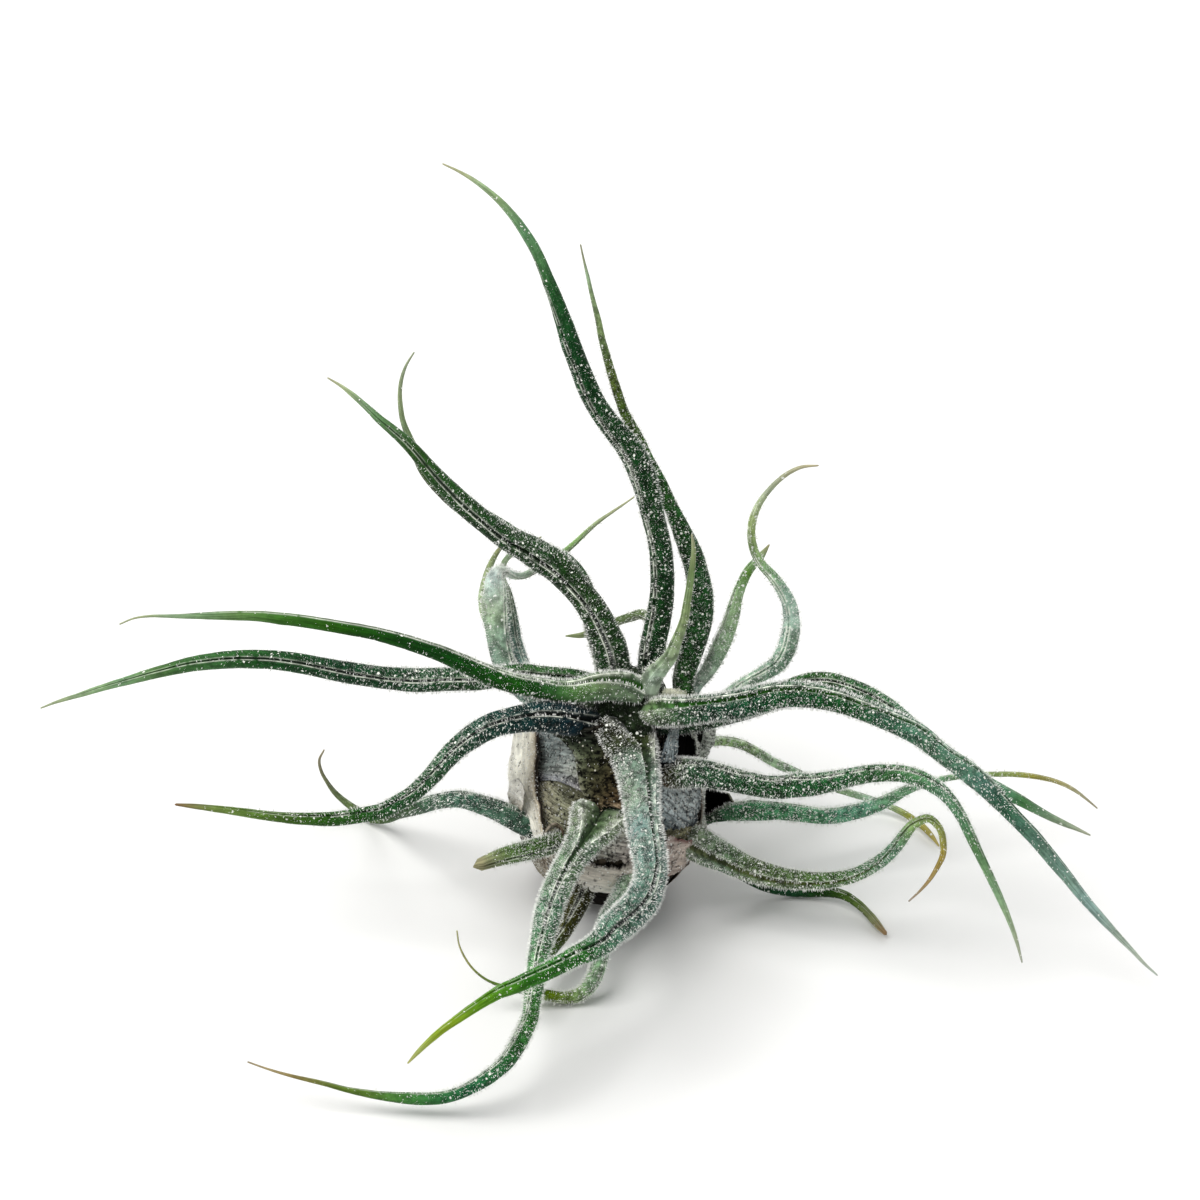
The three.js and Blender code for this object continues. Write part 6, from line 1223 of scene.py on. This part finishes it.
# right of the hanging leaf
# painted shade: near-black at the foot, in tone and edge, for the dark diagonal shading under its lower edge
patch("sheath_right_front_fine", [(985, 1120), (960, 1000), (955, 900), (965, 830)], [(1150, 1085), (1175, 1020), (1180, 940), (1160, 840)], 0.9,
      "0 8e9a9c, .4 b4bcbc, .8 a4acac, 1 6a7276", node="sheath_right_front", nu=130, nt=120, streak=(1.3, 0.3), angle=40, crease=0.26,
      blotch=0.75, frost=0.5, hair=5, edges=(.2, .3, .3, .95), edge="1c2228", ragged=(.3, .3, .3, .6), curl=(0, 0, 0, .35), cut=190,
      tone_v="0 14191e, .22 4a545a, .5 b4bcbc, 1 a4aeb0")
patch("sheath_right_olive", [(990, 1165), (992, 1120), (1040, 1085)], [(1220, 1190), (1200, 1130), (1170, 1065)], 0.55,
      "0 86846a, .5 74725a, 1 4f4c3c", nu=90, nt=60, streak=(1.6, 0.2), angle=80, crease=0.22, blotch=0.5, frost=0.25, hair=3,
      edges=(.2, .5, .6, .5), edge="2a2620", cut=190)
patch("sheath_right_low_fine", [(1000, 1375), (1000, 1290), (1000, 1210), (1000, 1150)], [(1110, 1310), (1180, 1262), (1225, 1235), (1215, 1175)], 1.0,
      "0 a59a92, .4 b9aca2, .8 a39790, 1 7d726a", node="sheath_right_low", nu=120, nt=110, streak=(1.5, 0.2), angle=62, crease=0.3, blotch=0.4,
      frost=0.35, hair=3, edges=(.2, .5, .9, .6), edge="6a4a46", ragged=(.3, .3, .4, .5), curl=(0, 0, .5, .2), cut=190, material=M_PAPER)
# painted shadow: dark blue-black toward its left side and foot, the shadow beside the hanging leaf
patch("sheath_right_top", [(940, 830), (962, 740), (985, 660), (1020, 585)], [(1055, 800), (1060, 720), (1062, 650), (1070, 585)], 0.8,
      "0 20262e, .3 5a666e, .7 a9b3b4, 1 8d9698", nu=90, nt=110, streak=(1.2, 0.3), angle=20, crease=0.25, blotch=0.6, frost=0.5, hair=6,
      edges=(.9, 0, 0, .95), edge="0d1014", ragged=(.4, .3, .3, .4), cut=190)
# hollow sheath of the right-hand low leaf: a white near lip, and its inside painted near-black as the shade within the
# hollow
lip_l = [at_depth(1172, 905, -1.5), at_depth(1168, 960, -2.2), at_depth(1166, 1010, -2.6), at_depth(1172, 1070, -2.6), at_depth(1180, 1130, -2.2)]
lip_r = [at_depth(1208, 900, 0.5), at_depth(1206, 960, -0.6), at_depth(1204, 1010, -1.2), at_depth(1210, 1070, -1.6), at_depth(1222, 1125, -1.4)]
sheet("sheath_right_open_lip", [lip_l, lip_r], "0 dedfd8, .5 c9cbc4, 1 d5d6ce", thick=0.35, nt=26, nu=90, hair=12, frost=.6, ragged=0.5, rough=.2)
far = [[at_depth(1196, 900, 1.0), at_depth(1260, 905, 0.8), at_depth(1320, 930, 0.4), at_depth(1358, 985, 0.0)],
       [at_depth(1196, 955, 2.8), at_depth(1255, 955, 2.4), at_depth(1315, 970, 1.6), at_depth(1366, 1000, 0.2)],
       [at_depth(1200, 1010, 2.8), at_depth(1250, 1010, 2.4), at_depth(1310, 1010, 1.6), at_depth(1366, 1012, 0.2)],
       [at_depth(1210, 1100, -0.6), at_depth(1250, 1082, -0.8), at_depth(1305, 1050, -0.8), at_depth(1360, 1024, -0.4)]]
sheet("sheath_right_open_fine", far, "0 050403, .6 080705, 1 1c1a10", node="sheath_right_open", thick=0.4, dark_back="6f7062", hair=0, frost=.0, rough=.25)
# cup at the upper right, and pale tissue beside the young leaf
# painted shade: a near-black sheet standing for the dark hollow at the upper right
sheet("sheath_upper_hollow", seen([
    [(1000, 575, 0.0), (1100, 575, 2.0), (1200, 575, 3.2)],
    [(985, 660, -3.6), (1090, 660, 0.0), (1195, 660, 1.8)],
    [(970, 745, -6.0), (1080, 750, -3.0), (1200, 750, -0.2)],
    [(960, 830, -8.0), (1080, 830, -5.6), (1205, 830, -2.0)]]),
    "0 10141a, .4 060504, .8 0a0806, 1 1a1712", thick=0.4, dark_back="6f6c5e", frost=.06, rough=.25)
# painted shadow: the bottom of this strip and its back are near-black, the dark shadow below the right of the hanging
# leaf
sheet("sheath_upper_strip", seen([
    [(1022, 578, -3.0), (1045, 578, -2.6), (1066, 578, -2.2)],
    [(998, 640, -5.4), (1030, 640, -5.0), (1064, 640, -4.4)],
    [(980, 700, -7.0), (1020, 700, -6.6), (1058, 705, -5.8)],
    [(965, 760, -8.4), (1005, 765, -8.0), (1045, 760, -7.2)]]),
    "0 5d6a72, .4 a9b4b5, 1 7c8789", thick=0.35, hair=10, frost=.5, ragged=.6, rough=.2, tone_v="0 a8b2b2, .5 8f9a9e, 1 20262e", dark_back="0a0a0a")
sheet("sheath_upper_lip", seen([
    [(1116, 584, 0.6), (1142, 625, -0.6), (1157, 665, -1.4), (1160, 720, -2.4)],
    [(1136, 578, 1.2), (1160, 620, 0.2), (1176, 665, -0.6), (1176, 720, -1.6)]]),
    "0 e6e6de, 1 c9cac2", thick=0.3, hair=16, frost=.6, ragged=.5, rough=.25, nt=24, nu=80)
sheet("sheath_upper_cup", seen([
    [(1196, 578, 2.6), (1190, 640, 0.6), (1178, 690, -1.0), (1172, 745, -2.2)],
    [(1230, 580, 2.8), (1226, 640, 1.0), (1210, 690, -0.4), (1196, 748, -1.6)],
    [(1268, 582, 3.8), (1262, 640, 2.6), (1236, 700, 1.0), (1212, 752, -0.4)]]),
    "0 d2d4cc, .5 a4aaa0, 1 8f958a", thick=0.45, hair=16, frost=.5, ragged=.6, rough=.3)
sheet("bract_beside_young_leaf", seen([
    [(985, 372, 0.9), (1040, 364, 1.3), (1100, 380, 1.2)],
    [(975, 388, 0.0), (1045, 386, 0.3), (1108, 396, 0.5)],
    [(965, 412, -1.2), (1045, 418, -1.0), (1112, 412, -0.6)]]),
    "0 c9ccb4, .5 dcdcc8, 1 8f967c", thick=0.4, hair=14, frost=.4, ragged=.7, rough=.35, material=M_PAPER, dark_back="2a3020")
# white flap beside the low left leaf
flap = [[at_depth(196, 850, -5.5), at_depth(160, 870, -4.5), at_depth(148, 940, -4.6), at_depth(160, 985, -5.2)],
        [at_depth(224, 880, -7.2), at_depth(205, 915, -6.8), at_depth(195, 960, -6.8), at_depth(196, 1000, -6.8)],
        [at_depth(236, 930, -8.2), at_depth(232, 960, -8.0), at_depth(228, 990, -8.0), at_depth(222, 1018, -8.0)]]
sheet("sheath_left_flap", flap, "0 dddad0, .5 e4e1d8, 1 c4bcac", thick=0.35, hair=4, frost=.4, ragged=.7, rough=.12, lines=(1.5, .5), material=M_PAPER)
# collar where the trimmed leaf leaves the bulb
collar = [[at_depth(330, 1195, -13.6), at_depth(352, 1140, -13.2), at_depth(398, 1098, -12.6), at_depth(440, 1130, -12.9), at_depth(440, 1180, -13.4)],
          [at_depth(345, 1205, -12.4), at_depth(362, 1150, -11.9), at_depth(400, 1112, -11.4), at_depth(432, 1138, -11.8), at_depth(430, 1180, -12.4)]]
sheet("sheath_trimmed_collar", collar, "0 a8a08e, .4 b0a594, .7 7a6a58, 1 4a4036", thick=0.3, nt=24, nu=90, hair=3, ragged=1.0, rough=.25)

# back and side sheaths, from the record's sheath layout
panel("sheath_back_right_fine", [(2, 2.8), (4, 12), (12, 20), (26, 27.4)], [(72, 2.8), (76, 10), (66, 19), (44, 27.4)], (0.55, 0.45),
      "0 8f8778, .4 a39b8b, .8 8a8a80, 1 6c6252", node="sheath_back_right", nu=150, ragged=(.5, .5, .5, .6), edges=(.4, .7, .6, .7), frost=.4, hair=3,
      tone_v="0 6e5d48, .2 978c7a, .7 a09a8c, 1 5f6a4c")
panel("sheath_back_left_fine", [(98, 3.0), (92, 10), (104, 19), (122, 27.6)], [(168, 3.0), (162, 14), (152, 22), (142, 27.6)], (0.6, 0.45),
      "0 857c6c, .5 a8a192, 1 8b8f8c", node="sheath_back_left", nu=150, ragged=(.5, .4, .5, .6), edges=(.7, .4, .6, .7), frost=.4, hair=3,
      tone_v="0 66563f, .2 958b7c, .7 a19c90, 1 66704f")
panel("sheath_back_upper", [(48, 12), (46, 19), (52, 24), (58, 28)], [(112, 12), (108, 19), (92, 24), (76, 28)], 0.35,
      "0 6c6654, .5 8e897a, 1 706a5a", nu=130, ragged=(.4, .4, .4, .4), edges=(.5, .5, .3, .5), frost=.35, hair=3, tone_v="0 7d7464, .6 8a8878, 1 4f6040")
panel("sheath_back_mid", [(46, 2.4), (54, 9), (64, 16), (70, 21.5)], [(114, 2.4), (106, 9), (90, 16), (80, 21.5)], (0.95, 1.25),
      "0 8d8472, .45 aaa292, 1 857c6a", nu=140, ragged=(.5, .5, .6, .6), edges=(.6, .6, .2, .8), frost=.4, hair=4, tone_v="0 5f503c, .25 a0968a, .75 9a9a86, 1 5c7a50")
panel("sheath_back_low_fine", [(40, 1.3), (50, 4.5), (68, 8), (84, 10.5)], [(136, 1.3), (126, 4.5), (108, 8), (94, 10.5)], (1.5, 1.7),
      "0 7d7262, .5 a09886, 1 867c6c", node="sheath_back_low", nu=140, curl=(.15, .15, .3, 0), ragged=(.5, .5, .8, .5), edges=(.6, .6, .9, .7), frost=.35,
      hair=2, tone_v="0 5a4a36, .4 a59c8c, 1 7a6c56")
panel("sheath_back_side", [(122, 2.2), (128, 8), (138, 14), (148, 19)], [(190, 2.2), (186, 8), (174, 13), (160, 18)], (0.85, 0.9),
      "0 8a8070, .5 a59e90, 1 7c7364", nu=140, ragged=(.5, .5, .6, .6), edges=(.6, .6, .7, .7), frost=.35, hair=3, tone_v="0 5c4c38, .3 9c9282, 1 8c8a78")
panel("sheath_side_left", [(150, 2.6), (150, 14), (152, 22), (154, 26)], [(232, 2.6), (230, 10), (222, 15), (208, 18)], (0.35, 0.4),
      "0 8f897a, .5 a8a294, 1 8a8478", nu=140, ragged=(.3, .3, .3, .3), edges=(.3, .6, .4, .6), frost=.35, hair=3)
panel("sheath_side_right", [(322, 3), (330, 9), (346, 14), (352, 20), (356, 25)], [(370, 3), (369, 9), (368, 14), (368, 20), (366, 25)], (0.4, 0.4),
      "0 8b857b, .5 9a968c, 1 857f74", nu=110, ragged=(.3, .3, .3, .3), edges=(.5, .3, .5, .6), frost=.35, hair=3)
# painted shadow: a near-black band round the foot of the front, standing for the black gap under the rim of the bulb
panel("sheath_foot_front", [(236, 1.0), (238, 4), (242, 8)], [(322, 1.0), (320, 4), (316, 9)], (0.25, 0.2),
      "0 0e0c09, .5 15120e, 1 0f0c0a", nu=140, nt=60, angle=80, ragged=(.3, .3, .4, .3), edges=(.6, .6, .9, .6), edge="171310", frost=0.0)


def crown():
    """Bases of the inner leaves, packed between the tops of the sheaths: deep green and speckled, painted darker still
    as the shade down in the crowded centre.
    """
    nz, na = 60, 200
    t = np.linspace(0, 1, nz)
    rad = np.interp(t, [0, .25, .5, .75, .9, 1], [6.3, 6.1, 5.5, 4.4, 2.6, 0.1])
    z = np.interp(t, [0, .25, .5, .75, .9, 1], [28.4, 30.4, 32.6, 34.8, 35.9, 36.2])
    A = np.linspace(0, 2 * np.pi, na, endpoint=False)
    R, AA = np.meshgrid(rad, A, indexing="ij")
    Z = np.repeat(z[:, None], na, 1)
    R = R * (1 + 0.10 * np.cos(5 * AA + 1.0 + Z * 0.12))
    shift = np.clip((Z - 28) / 5, 0, 1)
    p = np.stack([2.3 * shift + R * np.cos(AA), 0.9 * shift + R * np.sin(AA), Z], -1)
    bump = cloud(p, 0.9, 3, 41) - 0.5
    p = p + unit(p - np.array([2.0, 1.0, 28.0])) * (bump * 0.9)[..., None]
    i, j = np.meshgrid(np.arange(nz - 1), np.arange(na), indexing="ij")
    j2 = (j + 1) % na
    quads = np.stack([i * na + j, i * na + j2, (i + 1) * na + j2, (i + 1) * na + j], -1).reshape(-1, 4)
    tone = cloud(p, 0.6, 3, 43)[..., None]
    # painted shade: the deep green is scaled down to near-black in places, the shade among the crowded leaf bases
    col = srgb("22301c") * (0.15 + 1.1 * tone)
    ring = p
    verts = np.vstack([p.reshape(-1, 3), [[2.3, 0.9, 36.3], [0.5, 0.2, 28.2]]])
    k = np.arange(na)
    caps = np.vstack([np.stack([np.full(na, nz * na), (nz - 1) * na + k, (nz - 1) * na + (k + 1) % na], 1), np.stack([np.full(na, nz * na + 1), (k + 1) % na, k], 1)])
    grain = np.stack([AA * 12, Z * 0.3, 0 * Z], -1)
    make("crown_leaf_bases", verts, [quads, caps], M_GREEN, np.vstack([col.reshape(-1, 3), col[-1, :1], col[0, :1]]),
         np.concatenate([(0.16 + 0 * Z).ravel(), [0, 0]]), np.vstack([grain.reshape(-1, 3), grain[0, :1], grain[0, :1]]))
    up = unit(np.gradient(p, axis=0))
    hairs("crown_leaf_bases_hairs", p[:, ::-1], up[:, ::-1], 2.6 + 0 * Z, 47, 1.0)


crown()

# ---- stage, light, camera ----
world = bpy.data.worlds.new("studio")
bpy.context.scene.world = world
world.use_nodes = True
bg = world.node_tree.nodes["Background"]
bg.inputs[0].default_value = (1.0, 1.0, 1.0, 1)
bg.inputs[1].default_value = 0.48


def lamp(name, place, aim, size, power, colour=(1, 1, 1)):
    l = bpy.data.lights.new(name, "AREA")
    l.shape = "DISK"
    l.size = size
    l.energy = power
    l.color = colour
    o = bpy.data.objects.new(name, l)
    bpy.context.scene.collection.objects.link(o)
    o.location = place
    d = np.array(aim, float) - np.array(place, float)
    from mathutils import Vector
    o.rotation_euler = Vector(d).to_track_quat("-Z", "Y").to_euler()
    return o


lamp("key", (-0.45, -0.10, 1.05), (0, 0, 0.03), 0.9, 12.6, (1.0, 0.99, 0.97))
lamp("back", (0.35, 0.9, 0.7), (0, 0, 0.03), 0.8, 3.7)

floor_mat, nt, bsdf = new_material("studio_floor")
bsdf.inputs["Base Color"].default_value = (0.84, 0.84, 0.837, 1)
bsdf.inputs["Roughness"].default_value = 0.9
bsdf.inputs["Specular IOR Level"].default_value = 0.1
bpy.ops.mesh.primitive_plane_add(size=12, location=(0, 0, 0))
floor = bpy.context.object
floor.name = "studio_floor"
floor.data.materials.append(floor_mat)

cam = bpy.data.cameras.new("camera")
cam.lens = 126
cam.sensor_width = 36
cam.clip_start, cam.clip_end = 0.01, 100
camera = bpy.data.objects.new("camera", cam)
bpy.context.scene.collection.objects.link(camera)
camera.location = (-0.0015, -0.47503, 0.38266)
camera.rotation_euler = (math.radians(55), 0, 0)
bpy.context.scene.camera = camera

bpy.context.scene.view_settings.view_transform = "Standard"
bpy.context.scene.view_settings.look = "None"
